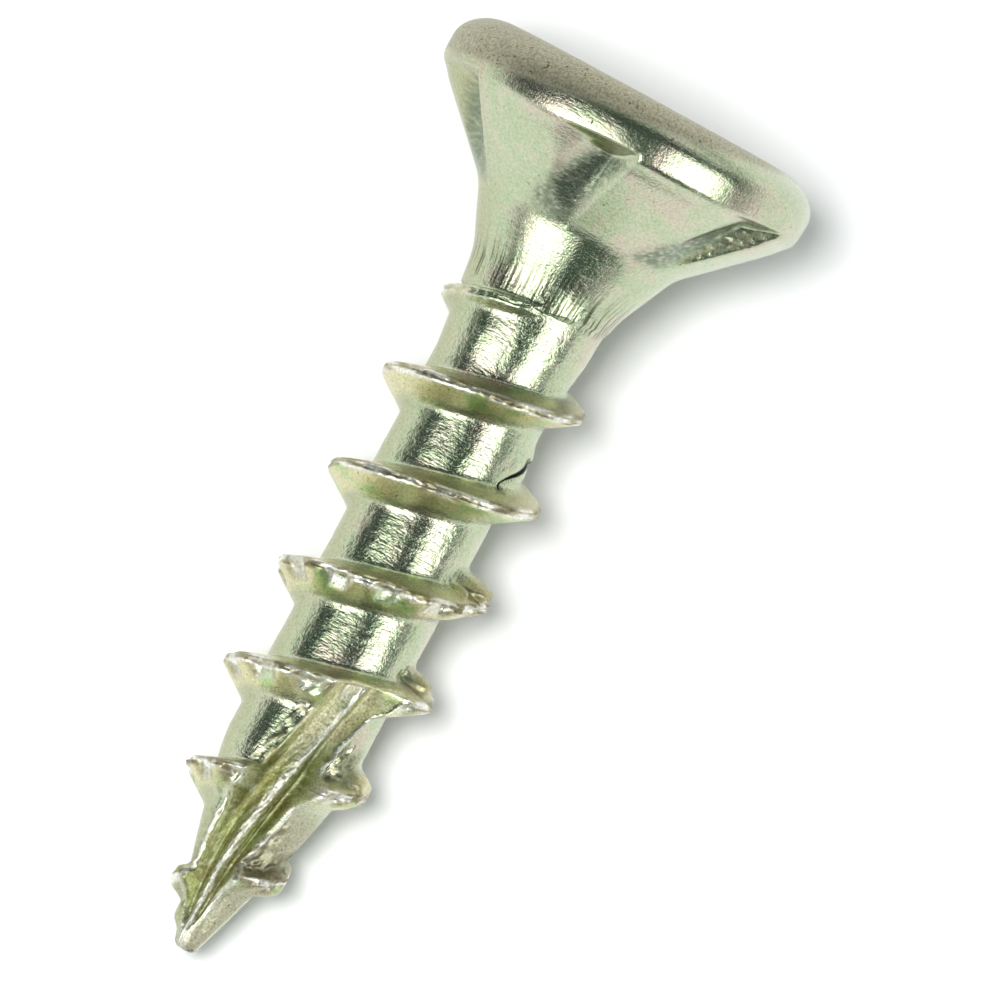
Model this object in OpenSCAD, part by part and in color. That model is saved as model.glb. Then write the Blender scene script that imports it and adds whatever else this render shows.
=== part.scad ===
// Countersunk wood screw. Its coarse thread is notched over the lower turns, its point is
// fluted so that it cuts its own hole, and six pockets under the head cut a seat for it.
// The screw lies on its side as it comes to rest: on the rim of the head and on one crest
// of the thread. It is drawn upright first, point down, and then laid over.

/* [Length] */
// Length from the end of the point to the face of the head
screw_len = 19.05; // [17:0.05:40]

/* [Head] */
// Diameter over the rim
head_d = 7.94; // [7.4:0.02:9]
// Height from the face to the sharp corner between the rim and the countersink
rim_h = 1.21; // [1:0.01:1.6]
// Width of the rounded edge, measured in across the face
face_edge_w = 1; // [0.4:0.05:1.2]
// Height of the rounded edge, measured down the rim
face_edge_h = 0.72; // [0.3:0.01:0.8]
// Radius of the edge between the rim and the countersink
seat_edge_r = 0.2; // [0.05:0.05:0.3]
// Angle between opposite sides of the countersink
seat_angle = 92; // [84:1:100]

/* [Neck] */
// Diameter at the sharp corner between the countersink and the neck
neck_d = 4.36; // [4.2:0.02:4.8]
// Length of the neck, from that corner to the shank
neck_len = 1.25; // [0.8:0.05:2]
// Diameter of the shank under the neck
shank_d = 3.24; // [3:0.02:3.6]
// Length over which the shank narrows to the core of the thread
shank_taper_len = 2; // [1:0.1:3]
// Radius of the hollow bend between the countersink and the neck
neck_bend_r = 1.2; // [0.4:0.1:2]
// Radius of the hollow bend between the neck and the shank
shank_bend_r = 1.6; // [0.4:0.1:2]

/* [Thread] */
// Diameter over the crests
thread_d = 4.17; // [3.8:0.01:4.6]
// Diameter of the core between the turns
core_d = 2.69; // [2.5:0.01:2.9]
// Distance from one crest to the next
pitch = 2.165; // [1.8:0.005:2.6]
// Width of the flat on the crest
crest_w = 0.16; // [0.1:0.01:0.25]
// Slope of the flank on the head side, from square across the screw
head_flank = 17; // [10:1:25]
// Slope of the flank on the point side, from square across the screw
point_flank = 32; // [25:1:38]
// Height of the lowest crest that faces up
first_crest_z = 1.66; // [1:0.01:2.6]
// Height above which the crests begin to run down to the shank
full_thread_z = 11.3; // [9:0.1:12]
// Distance from one crest to the next where the thread runs out on the shank
run_out_pitch = 1.92; // [1.6:0.01:2.4]

/* [Point] */
// Length over which the core narrows to the point
point_len = 4.3; // [3.5:0.1:5]
// Length over which the crests rise to their full height
entry_len = 6.2; // [5:0.1:7]
// Diameter of the blunt end of the point
tip_d = 0.46; // [0.3:0.02:0.6]

/* [Notches in the thread] */
// Height above which the crest has no notches
notched_len = 9.2; // [5:0.1:10]
// Number of notches to a turn
notches_per_turn = 10.53; // [8:0.01:12]
// Angle round the screw from the first crest that faces up to the nearest notch
notch_start = 27.2; // [0:0.1:34]
// Depth of a notch on the point side of the crest
notch_depth = 0.34; // [0.1:0.01:0.4]

/* [Flute in the point] */
// Height at which the flute ends
flute_len = 6.3; // [5:0.1:7]
// Depth of its two grooves under the core
flute_depth = 0.36; // [0.2:0.01:0.45]
// Height of the ridge between the two grooves
flute_ridge_h = 0.17; // [0.05:0.01:0.2]
// Width of the left groove, seen with the head up
flute_left_w = 0.66; // [0.3:0.01:0.7]
// Width of the right groove
flute_right_w = 0.47; // [0.3:0.01:0.6]
// Angle round the screw at which the flute starts, at the point
flute_start = -35; // [-60:1:0]
// Angle round the screw that it leans through over its length
flute_lean = 71; // [0:1:90]

/* [Pockets under the head] */
// Number of pockets
pocket_count = 6; // [4:1:6]
// Depth of a pocket under the rim, measured in towards the middle
pocket_depth = 0.42; // [0.1:0.01:0.5]
// Angle round the screw of the foot of the first pocket's wall
pocket_start = 3; // [-30:1:30]
// Angle that the wall leans through on its way up from the neck
pocket_lean = 7.5; // [0:0.5:15]
// Slope of the wall, from square to the floor
pocket_wall_draft = 41; // [10:1:50]
// Slope of the step against the rim, from square to the floor
pocket_step_draft = 58; // [10:1:65]

/* [Drive recess] */
// Width across opposite lobes of the six-lobe recess
recess_lobe_d = 3.94; // [3.2:0.01:4.2]
// Width across opposite hollows
recess_hollow_d = 2.82; // [2.4:0.01:3]
// Radius of the round end of a lobe
recess_lobe_r = 0.305; // [0.25:0.005:0.34]
// Depth of the straight part of the recess
recess_depth = 1.6; // [0.8:0.05:2]
// Depth of the cone at its bottom
recess_cone_h = 0.35; // [0.1:0.05:0.5]

/* [Hidden] */
zinc = "#b4b994";

rim_r = head_d / 2;
neck_r = neck_d / 2;
shank_r = shank_d / 2;
thread_r = thread_d / 2;
core_r = core_d / 2;
tip_r = tip_d / 2;

// Heights up the screw, counted down from the face of the head
seat_z = screw_len - rim_h;
neck_z = seat_z - (rim_r - neck_r) / tan(seat_angle / 2);
shank_z = neck_z - neck_len;
core_z = shank_z - shank_taper_len;

// How full the point and the row of crests are: 1 is a straight cone, more is a fuller bow
point_fullness = 1.25;
entry_fullness = 2.3;
// Steps in a rounded corner, and in the rounded edge of the face
corner_steps = 5;
edge_steps = 8;
// Overlap of a cutter or a root with what it meets
overlap = 0.15;
round_steps = 64;

function unit(v) = v / norm(v);

// Share of full size at a share of the length, for a bow that flattens out at 1
function bow(share, fullness) = 1 - pow(1 - min(max(share, 0), 1), fullness);

// Arc of radius r that rounds the corner b between a and c
function corner(a, b, c, r) =
    let (
        u = unit(a - b),
        v = unit(c - b),
        half = acos(u * v) / 2,
        centre = b + unit(u + v) * r / sin(half),
        from = b + u * r / tan(half) - centre,
        to = b + v * r / tan(half) - centre
    )
    [for (i = [0:corner_steps]) centre + r * unit(from * (corner_steps - i) + to * i)];

// Radius of the core, and radius of the crest, at height z
function core_at(z) = tip_r + (core_r - tip_r) * bow(z / point_len, point_fullness);
function crest_at(z) =
    z < full_thread_z
        ? thread_r * bow(z / entry_len, entry_fullness)
        : thread_r - (thread_r - shank_r + overlap) * pow((z - full_thread_z) / (shank_z - full_thread_z), 2);

// Outline of the blank as [radius, height], from the point up to the face
point_steps = 10;
point_outline = [for (i = [0:point_steps]) [core_at(point_len * i / point_steps), point_len * i / point_steps]];
shank_corners = [
    [core_r, core_z],
    [shank_r, shank_z],
    [neck_r, neck_z],
    [rim_r, seat_z],
    [rim_r, screw_len]
];
edge_outline = [
    for (i = [0:edge_steps])
        let (a = 90 * i / edge_steps)
        [rim_r - face_edge_w * (1 - cos(a)), screw_len - face_edge_h * (1 - sin(a))]
];
outline = concat(
    [[0, 0]],
    point_outline,
    [shank_corners[0]],
    corner(shank_corners[0], shank_corners[1], shank_corners[2], shank_bend_r),
    corner(shank_corners[1], shank_corners[2], shank_corners[3], neck_bend_r),
    corner(shank_corners[2], shank_corners[3], shank_corners[4], seat_edge_r),
    edge_outline,
    [[0, screw_len]]
);

// Thread: a section is swept up the helix in equal steps, and a notch takes up the few steps
// on either side of its middle
steps_per_notch = 6;
notch_half_steps = 1.7;
thread_step = 360 / notches_per_turn / steps_per_notch;
// The crest comes out of the point here
thread_start_z = 0.5;
// Turns from the first crest that faces up to where the run-out begins
full_turns = 4.75;
full_turns_z = first_crest_z + pitch * full_turns;
first_step = floor(((thread_start_z - first_crest_z) / pitch * 360 - notch_start) / thread_step);
last_step = floor((turns_to(shank_z) * 360 - notch_start) / thread_step);
// Height down a flank, as a share of it, that a notch reaches
notch_reach = 0.6;
// How far a notch lowers the head side of the crest, as a share of its depth
notch_back_share = 0.3;

function step_angle(i) = notch_start + i * thread_step;
function turns_to(z) =
    z < full_turns_z ? (z - first_crest_z) / pitch : full_turns + (z - full_turns_z) / run_out_pitch;
function step_z(i) =
    let (turns = step_angle(i) / 360)
    turns < full_turns ? first_crest_z + pitch * turns : full_turns_z + run_out_pitch * (turns - full_turns);
function notch_at(i) =
    let (from_middle = abs((i % steps_per_notch + steps_per_notch + steps_per_notch / 2) % steps_per_notch
        - steps_per_notch / 2))
    step_z(i) < notched_len ? notch_depth * max(1 - from_middle / notch_half_steps, 0) : 0;

// Section of the thread at step i, as [radius, height], from its point side to its head side
function thread_section(i) =
    let (
        z = step_z(i),
        crest = crest_at(z),
        root = min(core_at(z - (thread_r - core_r)) - overlap, crest - overlap),
        height = crest - root,
        notch = notch_at(i) * max(crest - core_at(z), 0) / (thread_r - core_r),
        head_side = z + crest_w / 2,
        point_side = z - crest_w / 2
    )
    [
        [root, point_side - height * tan(point_flank)],
        [crest - notch_reach * height, point_side - notch_reach * height * tan(point_flank)],
        [crest - notch, point_side],
        [crest - notch * notch_back_share, head_side],
        [root, head_side + height * tan(head_flank)]
    ];

// Faces of a sweep of count rings with size points each, every face a triangle
function sweep_faces(count, size) = concat(
    [for (i = [0:count - 2], j = [0:size - 1]) each
        let (a = i * size + j, b = i * size + (j + 1) % size)
        [[a, b, b + size], [a, b + size, a + size]]],
    [for (j = [1:size - 2]) [0, j + 1, j]],
    [for (j = [1:size - 2]) let (last = (count - 1) * size) [last, last + j, last + j + 1]]
);

// Flute: a section with two grooves and a ridge is swept up the point
flute_steps = 12;
// Share of its full width that the flute has at the point, and how soon it gets wide
flute_start_share = 0.3;
flute_widening = 0.23;
// Most of the core's radius that one groove may take up
flute_most_share = 0.9;

function flute_z(i) = i == 0 ? -overlap : flute_len * i / flute_steps;

// Section of the flute at step i, as points round the screw
function flute_section(i) =
    let (
        z = flute_z(i),
        turn = flute_start + flute_lean * z / flute_len,
        surface = core_at(z),
        share = min(flute_start_share + flute_widening * z, 1),
        left = min(flute_left_w * share, surface * flute_most_share),
        right = min(flute_right_w * share, surface * flute_most_share),
        foot = surface - flute_depth * share,
        clear = thread_r + overlap
    )
    [for (p = [
        [clear, -left],
        [surface, -left],
        [foot, -left / 2],
        [foot + flute_ridge_h * share, 0],
        [foot, right / 2],
        [surface, right],
        [clear, right]
    ]) [p.x * cos(turn) - p.y * sin(turn), p.x * sin(turn) + p.y * cos(turn), z]];

// Pocket: its floor is flush at the neck and deepest at the rim
floor_top_r = rim_r - pocket_depth;
floor_angle = atan((floor_top_r - neck_r) / (seat_z - neck_z));
floor_run = (seat_z - neck_z) / cos(floor_angle);

// Recess: six round lobes joined by hollow arcs that touch the lobes beside them
lobes = 6;
half_turn = 180 / lobes;
arc_steps = 8;
lobe_centre = recess_lobe_d / 2 - recess_lobe_r;
hollow_r = recess_hollow_d / 2;
hollow_arc_r = (pow(lobe_centre, 2) + pow(hollow_r, 2) - 2 * lobe_centre * hollow_r * cos(half_turn)
    - pow(recess_lobe_r, 2)) / (2 * (recess_lobe_r + lobe_centre * cos(half_turn) - hollow_r));
hollow_centre = hollow_r + hollow_arc_r;
touch_angle = atan2(hollow_centre * sin(half_turn), hollow_centre * cos(half_turn) - lobe_centre);
// The cone at the bottom starts a little inside the hollows, at this share of their radius
recess_cone_share = 0.9;
recess_cone_r = hollow_r * recess_cone_share;

function direction(angle) = [cos(angle), sin(angle)];
recess_outline = [
    for (k = [0:lobes - 1])
        let (lobe = 2 * half_turn * k, between = lobe + half_turn)
        each concat(
            [for (i = [0:arc_steps])
                lobe_centre * direction(lobe)
                + recess_lobe_r * direction(lobe + touch_angle * (2 * i / arc_steps - 1))],
            [for (i = [1:arc_steps - 1])
                hollow_centre * direction(between)
                - hollow_arc_r * direction(between + (touch_angle - half_turn) * (1 - 2 * i / arc_steps))]
        )
];

// The screw rests on the lower end of the rim's straight wall and on one of the crests that
// face down: the one that the floor meets first as the point comes down
rim_foot_z = seat_z + seat_edge_r * tan(seat_angle / 4);
function crest_pass_z(turn) = first_crest_z + pitch * (turn + 0.5);
contact_angles = [
    for (turn = [0:floor(full_thread_z / pitch) - 1])
        atan((rim_r - crest_at(crest_pass_z(turn))) / (rim_foot_z - crest_pass_z(turn)))
];
rest_angle = min(contact_angles);
rest_bottom = max([for (p = outline) p.x * cos(rest_angle) - p.y * sin(rest_angle)]);
rest_right = max([for (p = outline) p.y * cos(rest_angle) + p.x * sin(rest_angle)]);
rest_left = min([for (p = outline) p.y * cos(rest_angle) - p.x * sin(rest_angle)]);

// Sub-parts

// The headed blank before the thread, the cuts and the recess
module blank() {
    // Half a step of turn, so that the rim rests on the middle of a flat
    rotate(180 / round_steps) rotate_extrude($fn = round_steps) polygon(outline);
}

// The raised thread, from the point to the shank
module thread() {
    rings = [for (i = [first_step:last_step]) thread_section(i)];
    size = len(rings[0]);
    points = [
        for (i = [0:len(rings) - 1])
            let (a = step_angle(first_step + i))
            for (p = rings[i]) [p.x * cos(a), p.x * sin(a), p.y]
    ];
    polyhedron(points, sweep_faces(len(rings), size));
}

// The cut that makes the flute in the point
module flute() {
    rings = [for (i = [0:flute_steps]) flute_section(i)];
    points = [for (ring = rings) each ring];
    polyhedron(points, sweep_faces(len(rings), len(rings[0])));
}

// The cut that makes one pocket, its wall's foot at angle 0
module pocket() {
    top = rim_r - floor_top_r + overlap;
    step_shift = top * tan(pocket_step_draft);
    wall_shift = top * tan(pocket_wall_draft);
    lean_shift = floor_run * tan(pocket_lean);
    points = [
        [0, -neck_r, 0],
        [0, 0, 0],
        [floor_run, -lean_shift, 0],
        [floor_run, -neck_r, 0],
        [-step_shift, -neck_r, top],
        [-step_shift, wall_shift, top],
        [floor_run, wall_shift - lean_shift, top],
        [floor_run, -neck_r, top]
    ];
    translate([floor_top_r, 0, seat_z])
        rotate([0, 90 + floor_angle, 0])
            polyhedron(points, sweep_faces(2, 4));
}

// The six-lobe recess in the face
module drive_recess() {
    translate([0, 0, screw_len - recess_depth])
        linear_extrude(recess_depth + overlap)
            polygon(recess_outline);
    translate([0, 0, screw_len - recess_depth])
        rotate_extrude($fn = round_steps)
            polygon([[0, -recess_cone_h], [recess_cone_r, 0], [recess_cone_r, overlap], [0, overlap]]);
}

// The screw upright, point down
module upright_screw() {
    difference() {
        union() {
            blank();
            thread();
        }
        flute();
        for (i = [0:pocket_count - 1]) rotate(pocket_start + 360 / pocket_count * i) pocket();
        drive_recess();
    }
}

module screw() {
    color(zinc)
        translate([-(rest_left + rest_right) / 2, 0, rest_bottom])
            rotate([0, 90 - rest_angle, 0])
                rotate(180)
                    upright_screw();
}

screw();
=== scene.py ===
"""Dresses the countersunk wood screw: one rolled, zinc-plated steel body on a pale studio floor.

The screw is built upright, point down, with its axis along z and the end of its point at the
origin, and is then laid over as it comes to rest. Lengths are in metres, and angles in radians
where no comment says degrees.
"""

import logging
import math
from dataclasses import dataclass
from enum import Enum
from typing import Any

import bmesh
import bpy
import numpy as np
from mathutils import Matrix, Vector, noise


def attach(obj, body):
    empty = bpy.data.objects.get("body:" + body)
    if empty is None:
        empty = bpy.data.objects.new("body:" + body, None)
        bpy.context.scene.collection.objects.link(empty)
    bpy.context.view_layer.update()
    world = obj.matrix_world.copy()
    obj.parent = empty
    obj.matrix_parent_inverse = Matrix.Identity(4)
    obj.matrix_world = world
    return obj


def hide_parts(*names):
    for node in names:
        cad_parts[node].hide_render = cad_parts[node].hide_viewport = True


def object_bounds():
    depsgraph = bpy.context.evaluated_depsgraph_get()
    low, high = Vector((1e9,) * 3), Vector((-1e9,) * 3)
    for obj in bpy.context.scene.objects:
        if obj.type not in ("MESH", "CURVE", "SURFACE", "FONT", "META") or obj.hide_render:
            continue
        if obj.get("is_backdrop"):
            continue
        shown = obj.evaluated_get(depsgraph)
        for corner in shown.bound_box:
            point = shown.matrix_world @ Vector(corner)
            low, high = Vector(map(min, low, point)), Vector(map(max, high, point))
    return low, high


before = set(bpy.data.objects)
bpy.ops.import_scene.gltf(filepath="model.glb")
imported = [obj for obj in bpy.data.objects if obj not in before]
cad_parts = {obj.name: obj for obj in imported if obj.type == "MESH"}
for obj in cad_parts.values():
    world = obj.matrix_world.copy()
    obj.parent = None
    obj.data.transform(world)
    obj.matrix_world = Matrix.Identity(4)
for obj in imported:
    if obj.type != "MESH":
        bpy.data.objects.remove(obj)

MM = 0.001
TURN = 2 * math.pi
LOG = logging.getLogger("screw")

Array = np.ndarray
Tree = bpy.types.NodeTree
Socket = bpy.types.NodeSocket
Inputs = dict[str | int, Any] | tuple


def linear(hex_colour: str) -> tuple[float, float, float, float]:
    """Turns an sRGB colour into the linear one that a shader takes.

    Args:
        hex_colour: The colour as "#rrggbb".

    Returns:
        Red, green, blue and an alpha of 1.
    """
    shares = [int(hex_colour[i : i + 2], 16) / 255 for i in (1, 3, 5)]
    slope, knee, lift, power = 12.92, 0.04045, 0.055, 2.4
    rgb = [c / slope if c <= knee else ((c + lift) / (1 + lift)) ** power for c in shares]
    return (*rgb, 1.0)


class Kind(Enum):
    """Kinds of node, as the node's type and the output that is used, by name or place."""

    PLACE = ("ShaderNodeTexCoord", "Object")
    DIRECTION = ("ShaderNodeTexCoord", "Generated")
    MARK = ("ShaderNodeAttribute", "Fac")
    MAPPING = ("ShaderNodeMapping", 0)
    NOISE = ("ShaderNodeTexNoise", "Fac")
    RANGE = ("ShaderNodeMapRange", "Result")
    MATHS = ("ShaderNodeMath", 0)
    VECTOR = ("ShaderNodeVectorMath", "Vector")
    SEPARATE = ("ShaderNodeSeparateXYZ", "Z")
    MIX = ("ShaderNodeMix", 0)
    TINT = ("ShaderNodeMix", 2)
    RAMP = ("ShaderNodeValToRGB", "Color")
    BUMP = ("ShaderNodeBump", "Normal")
    METAL = ("ShaderNodeBsdfPrincipled", "BSDF")
    GLOW = ("ShaderNodeBackground", "Background")
    SURFACE = ("ShaderNodeOutputMaterial", None)
    WORLD = ("ShaderNodeOutputWorld", None)


def add_node(tree: Tree, kind: Kind, inputs: Inputs = (), **settings: Any) -> Socket | None:
    """Adds one node with its settings, values and links.

    Args:
        tree: The node tree that it goes into.
        kind: The kind of node.
        inputs: For each input, by name or place or from the first one on, its value or the socket
            that feeds it.
        **settings: The node's own properties.

    Returns:
        The output that the kind names, if it names one.
    """
    node_type, output = kind.value
    node = tree.nodes.new(node_type)
    for name, value in settings.items():
        setattr(node, name, value)
    for place, value in inputs.items() if isinstance(inputs, dict) else enumerate(inputs):
        if isinstance(value, Socket):
            tree.links.new(value, node.inputs[place])
        else:
            node.inputs[place].default_value = value
    return None if output is None else node.outputs[output]


def soft_max(a: Array, b: Array, blend: float) -> Array:
    """The larger of two heights, with a hollow fillet where they cross.

    Args:
        a: The first height.
        b: The second height.
        blend: The difference over which they melt into each other.

    Returns:
        The filleted larger height.
    """
    near = np.clip(1 - np.abs(a - b) / blend, 0, 1)
    return np.maximum(a, b) + near * near * blend / 4


def soft_min(a: Array, b: Array, blend: float) -> Array:
    """The smaller of two heights, with a rounded edge where they cross."""
    return -soft_max(-a, -b, blend)


def smooth_step(low: float, high: float, value: Array) -> Array:
    """Rises from 0 at low to 1 at high, level at both ends."""
    share = np.clip((value - low) / (high - low), 0, 1)
    return share * share * (3 - 2 * share)


def plateau(edges: tuple[float, ...], value: Array) -> Array:
    """Rises from 0 to 1 between the first two edges and falls again between the last two."""
    return smooth_step(edges[0], edges[1], value) * (1 - smooth_step(edges[2], edges[3], value))


def ripple(angle: Array, seed: float = 0.0) -> Array:
    """Uneven waves along a crest, from -1 to 1, the same on every run."""
    return sum(np.sin(count * angle + seed * count) for count in (5.3, 11.7, 23.1, 41.9)) / 4


def grain(points: Array, size: float, seed: float = 0.0) -> Array:
    """Smooth noise through space, the same on every run.

    Args:
        points: Points, with x, y and z along the last axis.
        size: The width of one lump of the noise.
        seed: Moves the noise, so that two uses of it differ.

    Returns:
        One value from about -1 to 1 for each point.
    """
    flat = points.reshape(-1, 3)
    lumps = [noise.noise(Vector(p) / size + Vector((seed, -seed, seed))) for p in flat]
    return np.array(lumps).reshape(points.shape[:-1])


@dataclass(frozen=True)
class Blank:
    """The turned blank before the thread and the cuts: point, core, shank, neck and head."""

    length: float = 19.05 * MM
    head_r: float = 3.97 * MM
    rim_h: float = 1.21 * MM
    face_edge_w: float = 1.0 * MM
    face_edge_h: float = 0.72 * MM
    seat_edge_r: float = 0.2 * MM
    seat_half_angle: float = math.radians(46)
    neck_r: float = 2.18 * MM
    neck_len: float = 1.25 * MM
    shank_r: float = 1.62 * MM
    shank_taper_len: float = 2.0 * MM
    neck_bend_r: float = 1.2 * MM
    shank_bend_r: float = 1.6 * MM
    core_r: float = 1.345 * MM
    point_len: float = 4.3 * MM
    point_fullness: float = 1.25
    tip_r: float = 0.23 * MM
    tip_round_h: float = 0.12 * MM
    tip_flat: float = 0.5
    arc_steps: int = 12

    @property
    def seat_z(self) -> float:
        """Height of the corner between the rim and the countersink."""
        return self.length - self.rim_h

    @property
    def neck_z(self) -> float:
        """Height of the corner between the countersink and the neck."""
        return self.seat_z - (self.head_r - self.neck_r) / math.tan(self.seat_half_angle)

    @property
    def shank_z(self) -> float:
        """Height of the corner between the neck and the shank."""
        return self.neck_z - self.neck_len

    @property
    def core_z(self) -> float:
        """Height at which the shank has narrowed to the core."""
        return self.shank_z - self.shank_taper_len

    def core_at(self, z: Array) -> Array:
        """Radius of the core, down to its blunt, rounded end.

        Args:
            z: Height above the point.

        Returns:
            The radius.
        """
        share = np.clip(z / self.point_len, 0, 1)
        bow = 1 - (1 - share) ** self.point_fullness
        end = np.clip(z / self.tip_round_h, 0, 1)
        rounding = np.sqrt(np.clip(1 - (1 - end) ** 2, 0, 1)) * (1 - self.tip_flat) + self.tip_flat
        return (self.tip_r + (self.core_r - self.tip_r) * bow) * rounding

    def corner(self, before: Array, at: Array, after: Array, radius: float) -> list[Array]:
        """Rounds one corner of the outline.

        Args:
            before: The point before the corner, as radius and height.
            at: The corner.
            after: The point after the corner.
            radius: Radius of the round.

        Returns:
            Points along the round.
        """
        back = (before - at) / np.linalg.norm(before - at)
        on = (after - at) / np.linalg.norm(after - at)
        half = math.acos(float(back @ on)) / 2
        bisector = (back + on) / np.linalg.norm(back + on)
        centre = at + bisector * radius / math.sin(half)
        start = at + back * radius / math.tan(half) - centre
        end = at + on * radius / math.tan(half) - centre
        steps = self.arc_steps
        rays = [start * (1 - i / steps) + end * i / steps for i in range(steps + 1)]
        return [centre + radius * ray / np.linalg.norm(ray) for ray in rays]

    def outline(self) -> Array:
        """Outline from the core up over the head to the flat of the face.

        Returns:
            Points as rows of radius and height.
        """
        corners = [
            np.array(c)
            for c in (
                (self.core_r, self.core_z),
                (self.shank_r, self.shank_z),
                (self.neck_r, self.neck_z),
                (self.head_r, self.seat_z),
                (self.head_r, self.length),
            )
        ]
        points = [corners[0]]
        for i, radius in enumerate((self.shank_bend_r, self.neck_bend_r, self.seat_edge_r)):
            points += self.corner(corners[i], corners[i + 1], corners[i + 2], radius)
        for i in range(self.arc_steps + 1):
            angle = math.pi / 2 * i / self.arc_steps
            radius = self.head_r - self.face_edge_w * (1 - math.cos(angle))
            height = self.length - self.face_edge_h * (1 - math.sin(angle))
            points.append(np.array((radius, height)))
        return np.array(points)

    def radius(self, z: Array) -> Array:
        """Radius of the blank below the rim.

        Args:
            z: Height above the point.

        Returns:
            The radius.
        """
        outline = self.outline()
        upper = np.interp(z, outline[:, 1], outline[:, 0])
        return np.where(z < self.core_z, self.core_at(z), upper)


@dataclass(frozen=True)
class Burr:
    """A lump that the notching pushed up beside the crest, or a worn place; its angles in degrees."""

    turn: int
    angle: float
    rise: float
    top_r: float
    half_angle: float
    half_height: float

    def share(self, along: Array, offset: Array) -> Array:
        """Share of its full height that the burr has.

        Args:
            along: Angle counted on through the turns.
            offset: Height above the crest.

        Returns:
            The share, from 0 to 1.
        """
        from_middle = along - self.turn * TURN - math.radians(self.angle)
        away = (from_middle / math.radians(self.half_angle)) ** 2
        away = away + ((offset - self.rise) / self.half_height) ** 2
        return np.exp(-(away**2))


@dataclass(frozen=True)
class Fold:
    """A lap in the rolled core, where metal was folded over: a thin crooked groove."""

    low_z: float = 10.76 * MM
    high_z: float = 11.68 * MM
    low_angle: float = math.radians(46.5)
    sweep: float = math.radians(47)
    bend: float = 1.35
    depth: float = 0.07 * MM
    low_w: float = 0.03 * MM
    high_w: float = 0.26 * MM
    pit_w: float = 0.08 * MM
    bulge: float = 0.11 * MM
    bulge_z: float = 11.45 * MM
    bulge_half_h: float = 0.45 * MM
    bulge_angle: float = math.radians(90)
    bulge_half_angle: float = math.radians(30)
    reach: float = 4.0
    spread: float = 1.2
    pit_share: float = 0.5

    def away(self, angle: Array, z: Array, radius: Array) -> Array:
        """Distance to the right of the fold's middle.

        Args:
            angle: Angle round the screw.
            z: Height.
            radius: Radius of the surface there.

        Returns:
            The distance, in widths of the fold.
        """
        share = np.clip((z - self.low_z) / (self.high_z - self.low_z), 0, 1)
        centre = self.low_angle + self.sweep * share**self.bend
        width = self.low_w + (self.high_w - self.low_w) * share**3
        return radius * (angle - centre) / (1 + self.spread * share) / width

    def depth_at(self, angle: Array, z: Array, radius: Array) -> Array:
        """Depth of the fold below the surface.

        Args:
            angle: Angle round the screw.
            z: Height.
            radius: Radius of the surface there.

        Returns:
            The depth.
        """
        inside = (z > self.low_z) & (z < self.high_z)
        pit = np.hypot(radius * (angle - self.low_angle), z - self.low_z) / self.pit_w
        groove = np.exp(-(self.away(angle, z, radius) ** 2)) * inside
        return self.depth * np.maximum(groove, np.exp(-(pit**2)))

    def bulge_at(self, angle: Array, z: Array) -> Array:
        """Height by which the folded metal stands out.

        Args:
            angle: Angle round the screw.
            z: Height.

        Returns:
            The height over the core.
        """
        off = ((angle - self.bulge_angle) / self.bulge_half_angle) ** 2
        off = off + ((z - self.bulge_z) / self.bulge_half_h) ** 2
        return self.bulge * np.exp(-(off**2))

    def crack(self, angle: Array, z: Array, radius: Array) -> tuple[Array, Array]:
        """Where the crack at the foot of the fold runs.

        Args:
            angle: Angle round the screw.
            z: Height.
            radius: Radius of the surface there.

        Returns:
            Signed distance to the crack, from -1 to 1, and 1 round the crack and 0 elsewhere.
        """
        away = np.clip(self.away(angle, z, radius) / self.reach, -1, 1)
        inside = (np.abs(away) < 1) & (z > self.low_z) & (z < self.high_z)
        pit = np.hypot(radius * (angle - self.low_angle), z - self.low_z) / (self.pit_w * self.reach)
        return np.where(pit < np.abs(away), pit, away), (inside | (pit < self.pit_share)).astype(float)


@dataclass(frozen=True)
class DieEdge:
    """The line round the neck that the edge of the rolling die left, a low step."""

    z: float = 14.37 * MM
    skew: float = 0.215 * MM
    step: float = 0.055 * MM
    step_w: float = 0.05 * MM
    fade: float = 0.9 * MM

    def depth_at(self, angle: Array, z: Array) -> Array:
        """Depth by which the die pressed the shank in below the line.

        Args:
            angle: Angle round the screw.
            z: Height.

        Returns:
            The depth.
        """
        below = self.z + self.skew * np.sin(angle) - z
        return self.step * plateau((0, self.step_w, self.step_w, self.fade), below)


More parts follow.
